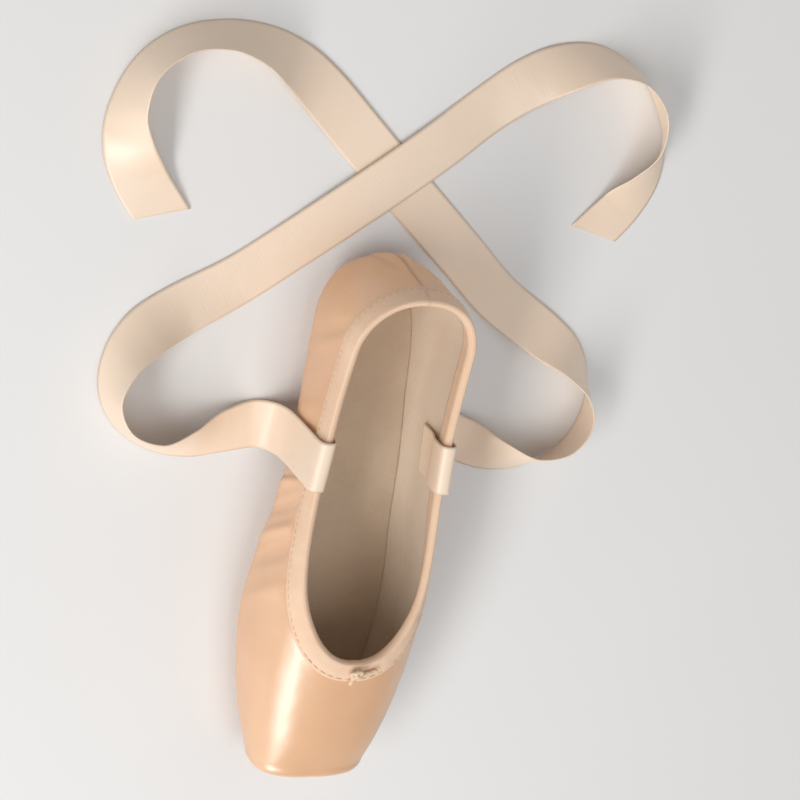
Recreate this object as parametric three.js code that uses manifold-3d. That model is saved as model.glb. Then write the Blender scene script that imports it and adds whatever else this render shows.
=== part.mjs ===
// A pointe shoe with a split leather outsole, built as its pieces: satin upper, collar binding,
// insole, forefoot and heel outsoles, drawstring knot and two ankle ribbons.
// Millimetres, +Z up, toe towards -Y, the shoe's own box centred on the origin in X and Y.
// It is made on a straight last, so it is the same for either foot.
import * as THREE from "three";
import { mergeVertices } from "three/addons/utils/BufferGeometryUtils.js";
import Module from "manifold-3d";

const wasm = await Module();
wasm.setup();

// Driving sizes of the last.
const length = 240;
const toeY = -length / 2;
const heelY = length / 2;
const platformFillet = 6; // rounding of the edge round the flat toe platform
const heelArc = 32; // how far the rounded heel runs forward from its back
const heelBulge = 22; // height of the heel's furthest point
const heelSteepness = 1.23; // how upright the back of the heel stands above the bulge
const heelFloorArc = 18; // rounding from the heel outsole up to the bulge
const throatY = -52; // lowest point of the vamp's U
const collarBackY = 113; // centre back of the collar

// Thicknesses and clearances.
const gap = 0.3;
const satinWall = 1.6; // satin, canvas and lining
const boxWall = 3; // the paste-stiffened toe box
const boxStartsY = -20;
const boxFullY = -60;
const platformExtra = 1.5; // the platform is this many times as thick as the box
const soleThickness = 1.6;
const soleFlatRise = 0.5; // the outsole is ground flat where the satin rises less than this
const insoleThickness = 1.5;
const tapeThickness = 0.8;
const bindingWidth = 8.5;
const bindingInside = 7;
const bindingPuff = 0.25; // the drawstring inside lifts the middle of the tape
const ribbonWidth = 22;
const ribbonThickness = 0.6;
const drawstringDiameter = 1.8;

const fabric = (name, color, roughness) =>
  new THREE.MeshStandardMaterial({ name, color, roughness, metalness: 0 });
const satin = fabric("satin", 0xe3b083, 0.38);
const bindingTape = fabric("binding tape", 0xedc7a2, 0.55);
const ribbonSatin = fabric("ribbon satin", 0xf0cdb0, 0.35);
const soleLeather = fabric("sole leather", 0xbf8157, 0.7);
const insoleCotton = fabric("insole cotton", 0xd9c4a8, 0.9);
const drawstringCotton = fabric("drawstring cotton", 0xf3d6b4, 0.8);

// The last's sections from toe to heel. Each half section runs from the underside up to the level
// where it is widest, and on to the top of the foot. Fullness 2 is an ellipse, and more is boxier.
const sections = [
  { y: -114, halfWidth: 27.0, bottom: 6.3, widest: 20.0, top: 38.5, lowFullness: 2.9, topFullness: 2.5 },
  { y: -104, halfWidth: 30.2, bottom: 3.7, widest: 19.2, top: 42.6, lowFullness: 3.1, topFullness: 2.42 },
  { y: -92, halfWidth: 33.3, bottom: 2.1, widest: 18.6, top: 46.6, lowFullness: 3.5, topFullness: 2.35 },
  { y: -72, halfWidth: 37.0, bottom: 1.9, widest: 18.0, top: 51.8, lowFullness: 3.8, topFullness: 2.3 },
  { y: -50, halfWidth: 39.0, bottom: 1.9, widest: 18.0, top: 56.6, lowFullness: 3.9, topFullness: 2.25 },
  { y: -28, halfWidth: 37.8, bottom: 1.9, widest: 18.6, top: 62.0, lowFullness: 3.8, topFullness: 2.2 },
  { y: -8, halfWidth: 34.8, bottom: 2.8, widest: 19.6, top: 68.0, lowFullness: 3.5, topFullness: 2.2 },
  { y: 15, halfWidth: 31.8, bottom: 5.4, widest: 21.0, top: 75.0, lowFullness: 3.2, topFullness: 2.2 },
  { y: 36, halfWidth: 30.2, bottom: 5.0, widest: 21.8, top: 81.0, lowFullness: 3.3, topFullness: 2.2 },
  { y: 54, halfWidth: 29.5, bottom: 2.3, widest: 22.0, top: 86.0, lowFullness: 3.6, topFullness: 2.2 },
  { y: 70, halfWidth: 29.2, bottom: 1.9, widest: 22.0, top: 89.0, lowFullness: 3.7, topFullness: 2.2 },
  { y: 88, halfWidth: 29.0, bottom: 1.9, widest: 22.0, top: 90.0, lowFullness: 3.7, topFullness: 2.2 },
];

// Height of the collar's edge along the side, between the throat and the centre back.
const collarLine = [
  { y: throatY, height: 56.1 },
  { y: -38, height: 53.9 },
  { y: -18, height: 50.2 },
  { y: 5, height: 47.4 },
  { y: 30, height: 46.4 },
  { y: 60, height: 48.6 },
  { y: 90, height: 54.0 },
  { y: collarBackY, height: 60.0 },
];

// Leather outsoles: egg-shaped in plan, with the broad end towards the toe where skew is positive.
const outsoles = {
  forefoot: { front: -93, back: -13, halfWidth: 25.5, skew: 0.22 },
  heel: { front: 53, back: 102, halfWidth: 18, skew: -0.08 },
};
const hemUnderSole = 3.5; // the satin's hem reaches this far in over the outsole

// A smooth curve through one column of a table, by cubic pieces with averaged slopes.
function column(rows, name, y) {
  const last = rows.length - 1;
  const slopeOver = (a, b) => (rows[b][name] - rows[a][name]) / (rows[b].y - rows[a].y);
  const slopeAt = (i) => slopeOver(Math.max(i - 1, 0), Math.min(i + 1, last));
  let i = 0;
  while (i < last - 1 && y > rows[i + 1].y) i++;
  const span = rows[i + 1].y - rows[i].y;
  const t = THREE.MathUtils.clamp((y - rows[i].y) / span, 0, 1);
  return (
    rows[i][name] * (1 + 2 * t) * (1 - t) ** 2 +
    rows[i + 1][name] * (3 - 2 * t) * t ** 2 +
    span * (slopeAt(i) * t * (1 - t) ** 2 - slopeAt(i + 1) * (1 - t) * t ** 2)
  );
}

const sectionHeelY = heelY - heelArc;
const sectionToeY = toeY + platformFillet;

// The last's section at a place along it, drawn in by inset from the outer surface.
// Behind the heel row it closes round the heel, and in front of the toe row it rounds
// into the platform.
function sectionAt(y, inset = 0) {
  const along = THREE.MathUtils.clamp(y, sectionToeY, sectionHeelY);
  const s = { y };
  for (const name of ["halfWidth", "bottom", "widest", "top", "lowFullness", "topFullness"])
    s[name] = column(sections, name, along);
  s.halfWidth -= inset;
  s.bottom += inset;
  s.top -= inset;
  if (y > sectionHeelY) {
    const round = Math.min((y - sectionHeelY) / heelArc, 1);
    const across = Math.sqrt(1 - round ** 2);
    const under = Math.max((y - heelY + heelFloorArc) / heelFloorArc, 0);
    s.y = sectionHeelY + (heelArc - inset) * round;
    s.halfWidth *= across;
    s.top = heelBulge + (s.top - heelBulge) * across ** heelSteepness;
    s.bottom = heelBulge - (heelBulge - s.bottom) * Math.sqrt(Math.max(1 - under ** 2, 0));
  }
  if (y < sectionToeY) {
    const round = Math.min((sectionToeY - y) / platformFillet, 1);
    const drawnIn = platformFillet * (1 - Math.sqrt(1 - round ** 2));
    s.y = sectionToeY - (platformFillet - inset * (inset > 0 ? platformExtra : 1)) * round;
    s.halfWidth -= drawnIn;
    s.top -= drawnIn;
    s.bottom += drawnIn * 0.85;
  }
  return s;
}

// A point of the last: angle 0 is the top of the foot and +-PI the middle of the underside,
// with +X on the positive side.
function lastPoint(y, angle, inset = 0, shrink = 1) {
  const s = sectionAt(y, inset);
  const a = Math.abs(angle);
  const upper = a < Math.PI / 2;
  const power = 2 / (upper ? s.topFullness : s.lowFullness);
  const reach = upper ? s.top - s.widest : s.widest - s.bottom;
  const x = s.halfWidth * Math.sin(a) ** power * Math.sign(angle);
  const rise = reach * Math.abs(Math.cos(a)) ** power * (upper ? 1 : -1);
  const middle = (s.top + s.bottom) / 2;
  return new THREE.Vector3(x * shrink, s.y, middle + (s.widest + rise - middle) * shrink);
}

// The angle at which the collar's edge crosses the section, 0 where the section is closed on top.
function collarAngle(y) {
  if (y <= throatY || y >= collarBackY) return 0;
  const s = sectionAt(y);
  const share = (column(collarLine, "height", y) - s.widest) / (s.top - s.widest);
  return Math.acos(Math.min(share, 1) ** (s.topFullness / 2));
}

const wallAt = (y) =>
  THREE.MathUtils.lerp(satinWall, boxWall, THREE.MathUtils.smoothstep(-y, -boxStartsY, -boxFullY));

// Height of the underside at a place in plan, on the outer surface or drawn in from it.
function undersideAt(x, y, inset = 0) {
  const behind = Math.max(y - sectionHeelY, 0);
  const s = sectionAt(y + (behind * inset) / (heelArc - inset), inset);
  const share = Math.min(Math.abs(x) / s.halfWidth, 1);
  return s.widest - (s.widest - s.bottom) * (1 - share ** s.lowFullness) ** (1 / s.lowFullness);
}

// Places along the last, from the heel's back to the toe platform, close together at the heel's
// back, the collar's back and the throat, where the surface or the collar turns quickly.
function places() {
  const rows = [];
  for (const turn of [90, 80, 70, 60])
    rows.push({ y: sectionHeelY + heelArc * Math.sin(THREE.MathUtils.degToRad(turn)), shrink: 1 });
  const spread = (from, to, steps, power) => {
    for (let i = 0; i < steps; i++)
      rows.push({ y: from + (to - from) * (i / steps) ** power, shrink: 1 });
  };
  const throatRun = 30;
  const throatRows = 10;
  const backRows = 8;
  const eased = (share) => 1 - Math.cos((Math.PI / 2) * share);
  for (let i = 0; i < backRows; i++)
    rows.push({ y: collarBackY + (sectionHeelY - collarBackY) * eased(i / backRows), shrink: 1 });
  spread(sectionHeelY, throatY + throatRun, 13, 1);
  for (let i = throatRows; i > 0; i--)
    rows.push({ y: throatY + throatRun * eased(i / throatRows), shrink: 1 });
  spread(throatY, sectionToeY, 7, 1);
  for (const turn of [0, 30, 60, 90])
    rows.push({ y: sectionToeY - platformFillet * Math.sin(THREE.MathUtils.degToRad(turn)), shrink: 1 });
  for (const shrink of [0.55, 0]) rows.push({ y: toeY, shrink });
  return rows;
}

// A closed surface from quads between neighbouring points of a grid.
class Skin {
  constructor() {
    this.points = [];
    this.faces = [];
  }
  add(points) {
    this.points.push(...points);
    return points.map((_, i) => this.points.length - points.length + i);
  }
  // Two faces, split along the shorter diagonal.
  quad(a, b, c, d) {
    const across = (i, j) => this.points[i].distanceTo(this.points[j]);
    if (across(a, c) < across(b, d) + 1e-6) this.faces.push(a, b, c, a, c, d);
    else this.faces.push(b, c, d, b, d, a);
  }
  // Quads between each row of indices and the next; flip turns the faces round.
  sheet(rows, flip = false) {
    for (let i = 0; i + 1 < rows.length; i++)
      for (let j = 0; j + 1 < rows[i].length; j++) {
        const corners = [rows[i][j], rows[i][j + 1], rows[i + 1][j + 1], rows[i + 1][j]];
        this.quad(...(flip ? corners.reverse() : corners));
      }
  }
  fan(ring, flip = false) {
    for (let i = 1; i + 1 < ring.length; i++)
      this.faces.push(ring[0], ...(flip ? [ring[i + 1], ring[i]] : [ring[i], ring[i + 1]]));
  }
  geometry() {
    const g = new THREE.BufferGeometry().setFromPoints(this.points);
    g.setIndex(this.faces);
    return welded(g);
  }
}

// Merges vertices that share a place, and drops faces that this leaves without area.
function welded(geometry) {
  geometry.deleteAttribute("normal");
  geometry.deleteAttribute("uv");
  const merged = mergeVertices(geometry, 1e-3);
  const kept = [];
  const index = merged.index.array;
  for (let i = 0; i < index.length; i += 3) {
    const [a, b, c] = index.subarray(i, i + 3);
    if (a !== b && b !== c && c !== a) kept.push(a, b, c);
  }
  merged.setIndex(kept);
  return merged;
}

function toSolid(geometry) {
  return new wasm.Manifold(
    new wasm.Mesh({
      numProp: 3,
      vertProperties: geometry.attributes.position.array,
      triVerts: new Uint32Array(geometry.index.array),
    }),
  );
}

function toGeometry(solid) {
  const { vertProperties, triVerts } = solid.getMesh();
  const g = new THREE.BufferGeometry();
  g.setAttribute("position", new THREE.BufferAttribute(vertProperties, 3));
  g.setIndex(new THREE.BufferAttribute(triVerts, 1));
  return g;
}

function piece(name, geometry, material) {
  const shown = geometry.toNonIndexed();
  shown.computeVertexNormals();
  const mesh = new THREE.Mesh(shown, material);
  mesh.name = name;
  return mesh;
}

// A closed ring in plan, as a fan of directions round a centre.
function eggOutline({ front, back, halfWidth, skew }, drawnIn = 0, steps = 36) {
  const middle = (front + back) / 2;
  const half = (back - front) / 2 - drawnIn;
  const ring = [];
  for (let i = 0; i < steps; i++) {
    const a = (2 * Math.PI * i) / steps;
    const x = (halfWidth - drawnIn) * Math.sin(a) * (1 + skew * Math.cos(a));
    ring.push(new THREE.Vector2(x, middle - half * Math.cos(a)));
  }
  return ring;
}

// The satin upper with its toe box: two skins a wall apart, joined along the collar.
function upperShell() {
  const columns = 32;
  const skin = new Skin();
  const rows = places();
  const sheetAt = (insetOf) =>
    rows.map(({ y, shrink }) => {
      const free = collarAngle(y);
      const line = [];
      for (let j = 0; j <= columns; j++) {
        const w = (2 * j) / columns - 1;
        const angle = Math.PI - Math.abs(w) * (Math.PI - free);
        line.push(lastPoint(y, angle * (w < 0 ? -1 : 1), insetOf(y), shrink));
      }
      return skin.add(line);
    });
  const outside = sheetAt(() => 0);
  const inside = sheetAt(wallAt);
  skin.sheet(outside);
  skin.sheet(inside, true);
  const rim = (j) => outside.map((line, i) => [line[j], inside[i][j]]);
  skin.sheet(rim(0), true);
  skin.sheet(rim(columns));
  return skin.geometry();
}

// Extruded plug that opens the underside over an outsole.
function undersideOpening(outline) {
  const depth = 8;
  const shape = new THREE.Shape(eggOutline(outline, hemUnderSole));
  const plug = new THREE.ExtrudeGeometry(shape, { depth, bevelEnabled: false });
  plug.translate(0, 0, -1);
  return toSolid(welded(plug));
}

// Folds of satin gathered under the toe, from the outsole's front edge to the platform's lower edge.
// They bunch at one corner and in the middle, as fingers leave them.
const pleats = [
  { turn: -62, halfWidth: 1.5, height: 0.7 },
  { turn: -51, halfWidth: 1.9, height: 0.95 },
  { turn: -42, halfWidth: 1.5, height: 0.8 },
  { turn: -33, halfWidth: 1.8, height: 0.9 },
  { turn: -13, halfWidth: 1.5, height: 0.7 },
  { turn: -5, halfWidth: 1.8, height: 0.9 },
  { turn: 4, halfWidth: 1.6, height: 0.75 },
  { turn: 13, halfWidth: 2.0, height: 0.95 },
  { turn: 23, halfWidth: 1.5, height: 0.7 },
  { turn: 41, halfWidth: 1.8, height: 0.85 },
  { turn: 54, halfWidth: 1.6, height: 0.8 },
];

function pleatRidge(pleat) {
  const turn = THREE.MathUtils.degToRad(pleat.turn);
  const steps = 4;
  const sunk = 0.5;
  const skin = new Skin();
  const { front, back, halfWidth, skew } = outsoles.forefoot;
  const out = 1.06; // share of the outsole's outline at which a pleat starts
  const startX = out * halfWidth * Math.sin(turn) * (1 + skew * Math.cos(turn));
  const startY = (front + back) / 2 - ((out * (back - front)) / 2) * Math.cos(turn);
  const endX = startX * 0.8 + 6 * Math.sin(turn);
  const endY = toeY + 3.5 + 12 * (1 - Math.cos(turn));
  const rings = [];
  for (let i = 0; i <= steps; i++) {
    const t = i / steps;
    const x = THREE.MathUtils.lerp(startX, endX, t);
    const y = THREE.MathUtils.lerp(startY, endY, t);
    const taper = 1 - t * t;
    const half = pleat.halfWidth * (0.45 + 0.55 * taper);
    const wide = new THREE.Vector2(startY - endY, endX - startX).normalize().multiplyScalar(half);
    const foot = (side) => {
      const fx = x + side * wide.x;
      const fy = y + side * wide.y;
      return new THREE.Vector3(fx, fy, undersideAt(fx, fy) + sunk);
    };
    const crest = new THREE.Vector3(x, y, undersideAt(x, y) - pleat.height * (0.25 + 0.75 * taper));
    rings.push(skin.add([foot(-1), crest, foot(1)]));
  }
  skin.sheet(rings.map((ring) => [...ring, ring[0]]));
  skin.fan(rings[0], true);
  skin.fan(rings[steps]);
  return toSolid(skin.geometry());
}

function upper() {
  let solid = toSolid(upperShell());
  for (const pleat of pleats) solid = solid.add(pleatRidge(pleat));
  for (const outline of Object.values(outsoles)) solid = solid.subtract(undersideOpening(outline));
  return toGeometry(solid);
}

// A leather outsole: it follows the satin above it, and its underside is flat on the floor in the middle.
function outsole(outline) {
  const rings = [0, 0.55, 0.82, 1];
  const skin = new Skin();
  const edge = eggOutline(outline);
  const middle = (outline.front + outline.back) / 2;
  const faceAt = (below) =>
    rings.map((share) => {
      const line = edge.map((p) => {
        const x = p.x * share;
        const y = middle + (p.y - middle) * share;
        const satinRise = undersideAt(x, y) - gap - soleThickness;
        const z = below ? Math.max(0, satinRise - soleFlatRise) : satinRise + soleThickness;
        return new THREE.Vector3(x, y, z);
      });
      const ring = skin.add(line);
      return [...ring, ring[0]];
    });
  const top = faceAt(false);
  const underside = faceAt(true);
  skin.sheet(top, true);
  skin.sheet(underside);
  skin.sheet([top.at(-1), underside.at(-1)], true);
  return skin.geometry();
}

// The insole lies on the inside of the underside, from the toe box to the heel.
function insole() {
  const front = -111;
  const back = 109;
  const clearShare = 0.8; // share of the inside's half width that the insole covers
  const skin = new Skin();
  const across = [-1, -0.75, -0.35, 0.35, 0.75, 1];
  const stops = places().map(({ y }) => y).filter((y) => y > front + 0.5 && y < back - 0.5);
  const faceAt = (rise) =>
    [back, ...stops, front].map((y) => {
      const inset = wallAt(y);
      const fromMiddle = (2 * y - front - back) / (back - front);
      const half = clearShare * sectionAt(y, inset).halfWidth * (1 - fromMiddle ** 6) ** 0.4;
      const line = across.map((share) => {
        const x = share * half;
        return new THREE.Vector3(x, y, undersideAt(x, y, inset) + gap + rise);
      });
      return skin.add(line);
    });
  const low = faceAt(0);
  const high = faceAt(insoleThickness);
  skin.sheet(low);
  skin.sheet(high, true);
  const side = (j) => low.map((line, i) => [line[j], high[i][j]]);
  skin.sheet(side(0), true);
  skin.sheet(side(across.length - 1));
  return skin.geometry();
}

// Outward normal of the last.
function normalAt(y, angle) {
  const step = 0.01;
  const alongY = lastPoint(y + step, angle).sub(lastPoint(y - step, angle));
  const around = lastPoint(y, angle + step).sub(lastPoint(y, angle - step));
  return around.cross(alongY).normalize();
}

// The point of the last, drawn in by inset, that a nearby point belongs to.
function ontoLast(point, inset) {
  const s = sectionAt(point.y);
  const upper = point.z > s.widest;
  const half = (upper ? s.topFullness : s.lowFullness) / 2;
  const reach = upper ? s.top - s.widest : s.widest - s.bottom;
  const across = (Math.abs(point.x) / s.halfWidth) ** half;
  const rise = (Math.abs(point.z - s.widest) / reach) ** half;
  const angle = upper ? Math.atan2(across, rise) : Math.PI - Math.atan2(across, rise);
  return lastPoint(point.y, angle * (point.x < 0 ? -1 : 1), inset);
}

// The collar's edge as a closed loop: each stop has its place, and the directions down the wall
// and out of it.
function collarLoop() {
  const rows = places().map(({ y }) => y).filter((y) => y > throatY && y < collarBackY);
  const longStep = 5.2;
  const open = rows.flatMap((y, i) =>
    i > 0 && rows[i - 1] - y > longStep ? [(rows[i - 1] + y) / 2, y] : [y],
  );
  const ys = [...open.map((y) => [y, 1]), [throatY, 1], ...open.toReversed().map((y) => [y, -1])];
  const stops = [[collarBackY, 1], ...ys].map(([y, side]) => {
    const angle = collarAngle(y) * side;
    return { y, angle, at: lastPoint(y, angle), out: normalAt(y, angle) };
  });
  stops.forEach((stop, i) => {
    const before = stops.at(i - 1).at;
    const after = stops[(i + 1) % stops.length].at;
    stop.down = stop.out.clone().cross(after.clone().sub(before).normalize()).normalize();
  });
  return stops;
}

// Where a tape lies: a distance down the wall from the collar's edge, and off the wall's outer or
// inner face. A negative distance stands above the edge.
function onWall(stop, distance, off, inside = false) {
  const below = stop.at.clone().addScaledVector(stop.down, Math.max(distance, 0));
  const place = ontoLast(below, inside ? wallAt(below.y) + off : -off);
  return place.addScaledVector(stop.down, Math.min(distance, 0));
}

// The binding tape folds over the collar's edge and holds the drawstring.
function collarBinding() {
  const skin = new Skin();
  const far = gap + tapeThickness;
  const rings = collarLoop().map((stop) =>
    skin.add([
      onWall(stop, bindingWidth, gap),
      onWall(stop, bindingWidth, far),
      onWall(stop, bindingWidth / 2, far + bindingPuff),
      onWall(stop, 0, far),
      onWall(stop, -far, 0),
      onWall(stop, -far, 0, true),
      onWall(stop, 0, far, true),
      onWall(stop, bindingInside, far, true),
      onWall(stop, bindingInside, gap, true),
      onWall(stop, -gap, gap, true),
      onWall(stop, -gap, gap),
      onWall(stop, bindingWidth / 2, gap),
    ]),
  );
  skin.sheet([...rings, rings[0]].map((ring) => [...ring, ring[0]]));
  return skin.geometry();
}

// Height of the vamp over a place in plan.
function vampAt(x, y) {
  const s = sectionAt(y);
  const share = Math.abs(x) / s.halfWidth;
  return s.widest + (s.top - s.widest) * (1 - share ** s.topFullness) ** (1 / s.topFullness);
}

// The knot of the collar's drawstring, on the binding at the throat, with its two short ends.
function drawstringKnot() {
  const radius = drawstringDiameter / 2;
  const rest = gap + tapeThickness + bindingPuff + gap; // clearance of the vamp below the cord
  const knotHalf = { x: 3, y: 2.1, z: 1.7 };
  const knotY = -55;
  const profile = [];
  for (let i = 0; i <= 6; i++) {
    const turn = Math.PI * (i / 6 - 0.5);
    profile.push(new THREE.Vector2(i % 6 ? Math.cos(turn) : 0, Math.sin(turn)));
  }
  const ball = new THREE.LatheGeometry(profile, 14);
  ball.scale(knotHalf.x, knotHalf.z, knotHalf.y).rotateX(Math.PI / 2);
  ball.translate(0, knotY, vampAt(0, knotY) + rest + knotHalf.z);
  const onTape = ([x, y]) => new THREE.Vector3(x, y, vampAt(x, y) + rest + radius);
  const ends = [
    [[0, -55.5], [-0.6, -58], [-1.2, -60], [-1.2, -61.5]],
    [[1.5, -55], [4.5, -55.4], [7.5, -54.6], [10, -53.6]],
  ].map((route) => {
    const circle = new THREE.Shape().absarc(0, 0, radius, 0, 2 * Math.PI);
    const extrudePath = new THREE.CatmullRomCurve3(route.map(onTape));
    return new THREE.ExtrudeGeometry(circle, { extrudePath, steps: 6, curveSegments: 4 });
  });
  let solid = toSolid(welded(ball));
  for (const end of ends) solid = solid.add(toSolid(welded(end)));
  return toGeometry(solid);
}

// Each ribbon is sewn inside a quarter, folds over the collar, hangs to the floor and crosses the
// other behind the heel. On the wall a place has its height, and on the floor it has its bank:
// 0 lies flat and 90 stands on edge.
const ribbonHang = [
  { x: 27.7, y: 36, z: 22 },
  { x: 27.6, y: 36, z: 28 },
  { x: 26.8, y: 36, z: 33.5 },
  { x: 25.1, y: 36, z: 39 },
  { x: 24.6, y: 36, z: 45.5 },
  { x: 25.2, y: 36, z: 48.1 },
  { x: 26.4, y: 36, z: 49.2 },
  { x: 28.2, y: 36, z: 49.5 },
  { x: 29.9, y: 36, z: 49.2 },
  { x: 31.1, y: 36, z: 48.0 },
  { x: 31.6, y: 36, z: 45.5 },
  { x: 31.7, y: 36, z: 38 },
  { x: 31.7, y: 36, z: 28 },
  { x: 31.9, y: 36, z: 18 },
  { x: 33.0, y: 36, z: 9.5 },
  { x: 36.2, y: 36, z: 3.4 },
];
const ribbonFloor = {
  left: [
    { x: 42, y: 36, bank: 0, lift: 0.4 },
    { x: 56, y: 32.5, bank: 12 },
    { x: 72, y: 27, bank: 36 },
    { x: 90, y: 25.5, bank: 62 },
    { x: 106, y: 33, bank: 76 },
    { x: 113.5, y: 47, bank: 78 },
    { x: 111, y: 62, bank: 66 },
    { x: 101, y: 75, bank: 42 },
    { x: 86, y: 84.5, bank: 14 },
    { x: 61, y: 99.5, bank: 2 },
    { x: 40, y: 117, bank: 0 },
    { x: 20, y: 133.5, bank: 0 },
    { x: 0, y: 150, bank: 0 },
    { x: -20, y: 167, bank: 1 },
    { x: -36, y: 180.5, bank: 8 },
    { x: -50, y: 190.5, bank: 26 },
    { x: -66, y: 198, bank: 50 },
    { x: -84, y: 200.5, bank: 68 },
    { x: -101, y: 196.5, bank: 76 },
    { x: -114, y: 185, bank: 76 },
    { x: -119, y: 168.5, bank: 64 },
    { x: -116, y: 152, bank: 36 },
    { x: -108, y: 138, bank: 10 },
    { x: -97, y: 124.5, bank: 0 },
  ],
  right: [
    { x: -42, y: 36, bank: 0, lift: 0.4 },
    { x: -56, y: 33, bank: 14 },
    { x: -72, y: 28.5, bank: 40 },
    { x: -89, y: 28, bank: 66 },
    { x: -103.5, y: 35.5, bank: 78 },
    { x: -110.5, y: 49, bank: 78 },
    { x: -108, y: 63.5, bank: 64 },
    { x: -98.5, y: 76, bank: 40 },
    { x: -83, y: 86, bank: 14 },
    { x: -61, y: 99, bank: 2 },
    { x: -40, y: 115, bank: 0, lift: 0.3 },
    { x: -20, y: 131.5, bank: 0, lift: 1.3 },
    { x: 0, y: 148, bank: 0, lift: 1.7 },
    { x: 20, y: 165, bank: 0, lift: 1.2 },
    { x: 38, y: 181.5, bank: 1, lift: 0.2 },
    { x: 53, y: 194.5, bank: 14 },
    { x: 68, y: 204, bank: 38 },
    { x: 85, y: 209, bank: 62 },
    { x: 102, y: 205, bank: 76 },
    { x: 115, y: 193, bank: 76 },
    { x: 121, y: 176, bank: 60 },
    { x: 119, y: 159, bank: 30 },
    { x: 112, y: 145, bank: 6 },
    { x: 102, y: 132, bank: 0 },
  ],
};

// Places along a ribbon, each with the direction across its width.
function ribbonRoute(side) {
  const sign = side === "left" ? 1 : -1;
  const floor = ribbonFloor[side];
  const rows = ribbonHang.map(({ x, y, z }) => ({
    at: new THREE.Vector3(sign * x, y, z),
    across: new THREE.Vector3(-0.06 * sign, 1, 0.04).normalize(),
  }));
  floor.forEach(({ x, y, bank, lift = 0 }, i) => {
    const before = floor[Math.max(i - 1, 0)];
    const after = floor[Math.min(i + 1, floor.length - 1)];
    const heading = new THREE.Vector2(after.x - before.x, after.y - before.y).normalize();
    const tilt = THREE.MathUtils.degToRad(bank);
    const flat = new THREE.Vector3(-heading.y, heading.x, 0).multiplyScalar(sign * Math.cos(tilt));
    const z = ribbonThickness / 2 + 0.05 + (ribbonWidth / 2) * Math.sin(tilt) + lift;
    rows.push({ at: new THREE.Vector3(x, y, z), across: flat.setZ(Math.sin(tilt)) });
  });
  return rows;
}

function ribbon(side) {
  const perRow = 2;
  const slant = 5; // the free end is cut this far off square, each way
  const rows = ribbonRoute(side);
  const curve = new THREE.CatmullRomCurve3(rows.map((row) => row.at), false, "centripetal");
  const count = (rows.length - 1) * perRow;
  const skin = new Skin();
  const rings = [];
  for (let i = 0; i <= count; i++) {
    const at = curve.getPoint(i / count);
    const tangent = curve.getTangent(i / count);
    const row = Math.min(Math.floor(i / perRow), rows.length - 2);
    const across = rows[row].across.clone().lerp(rows[row + 1].across, i / perRow - row);
    across.addScaledVector(tangent, -across.dot(tangent)).normalize();
    const out = tangent.clone().cross(across).multiplyScalar(ribbonThickness / 2);
    const floor = (ribbonWidth / 2) * Math.abs(across.z) + Math.abs(out.z) + 0.05;
    at.z = Math.max(at.z, floor);
    const cut = tangent.clone().setZ(0).multiplyScalar(i === count ? slant : 0);
    const corner = (j, k) => {
      const place = at.clone().addScaledVector(across, (j * ribbonWidth) / 2);
      return place.addScaledVector(out, k).addScaledVector(cut, j);
    };
    rings.push(skin.add([corner(-1, -1), corner(1, -1), corner(1, 1), corner(-1, 1)]));
  }
  // Both faces of a ribbon split on the same diagonal, which keeps it thin where it twists.
  for (let i = 0; i < count; i++) {
    const a = rings[i];
    const b = rings[i + 1];
    skin.faces.push(a[0], a[1], b[1], a[0], b[1], b[0]);
    skin.faces.push(a[2], a[3], b[2], a[3], b[3], b[2]);
    skin.faces.push(a[1], a[2], b[2], a[1], b[2], b[1]);
    skin.faces.push(a[3], a[0], b[0], a[3], b[0], b[3]);
  }
  skin.fan(rings[0], true);
  skin.fan(rings[count]);
  return skin.geometry();
}

const shoe = new THREE.Group();
shoe.add(
  piece("upper", upper(), satin),
  piece("collar_binding", collarBinding(), bindingTape),
  piece("insole", insole(), insoleCotton),
  piece("outsole_forefoot", outsole(outsoles.forefoot), soleLeather),
  piece("outsole_heel", outsole(outsoles.heel), soleLeather),
  piece("drawstring_knot", drawstringKnot(), drawstringCotton),
  piece("ribbon_left", ribbon("left"), ribbonSatin),
  piece("ribbon_right", ribbon("right"), ribbonSatin),
);

export default shoe;
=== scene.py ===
import math

import bmesh
import bpy
import numpy as np
from mathutils import Matrix, Vector


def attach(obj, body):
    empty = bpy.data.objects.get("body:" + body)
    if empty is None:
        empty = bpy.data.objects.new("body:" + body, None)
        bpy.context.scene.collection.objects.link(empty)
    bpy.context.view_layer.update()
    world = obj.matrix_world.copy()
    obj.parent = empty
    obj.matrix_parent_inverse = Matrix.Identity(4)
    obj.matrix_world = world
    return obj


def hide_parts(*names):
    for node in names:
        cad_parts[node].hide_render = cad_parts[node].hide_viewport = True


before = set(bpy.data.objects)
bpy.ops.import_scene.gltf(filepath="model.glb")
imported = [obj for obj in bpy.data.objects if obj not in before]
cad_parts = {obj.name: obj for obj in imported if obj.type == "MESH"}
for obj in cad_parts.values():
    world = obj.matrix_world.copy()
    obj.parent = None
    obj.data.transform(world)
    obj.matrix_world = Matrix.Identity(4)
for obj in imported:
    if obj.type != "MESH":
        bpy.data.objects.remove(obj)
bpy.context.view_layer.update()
print("frame loaded")

# Sizes in metres: +Z up, toe towards -Y, wearer's left on +X.
toe = {"y": -0.12, "fillet": 0.006, "underShare": 0.85, "insideShare": 1.5}
heel = {"y": 0.12, "arc": 0.032, "bulge": 0.022, "steepness": 1.23, "floorArc": 0.018}
collar = {"throat": -0.052, "back": 0.113, "roundedOver": 0.030}
wall = {"satin": 0.0016, "box": 0.003, "boxStarts": -0.02, "boxFull": -0.06}
gap = 0.0003
weldWithin = 4e-6

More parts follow.
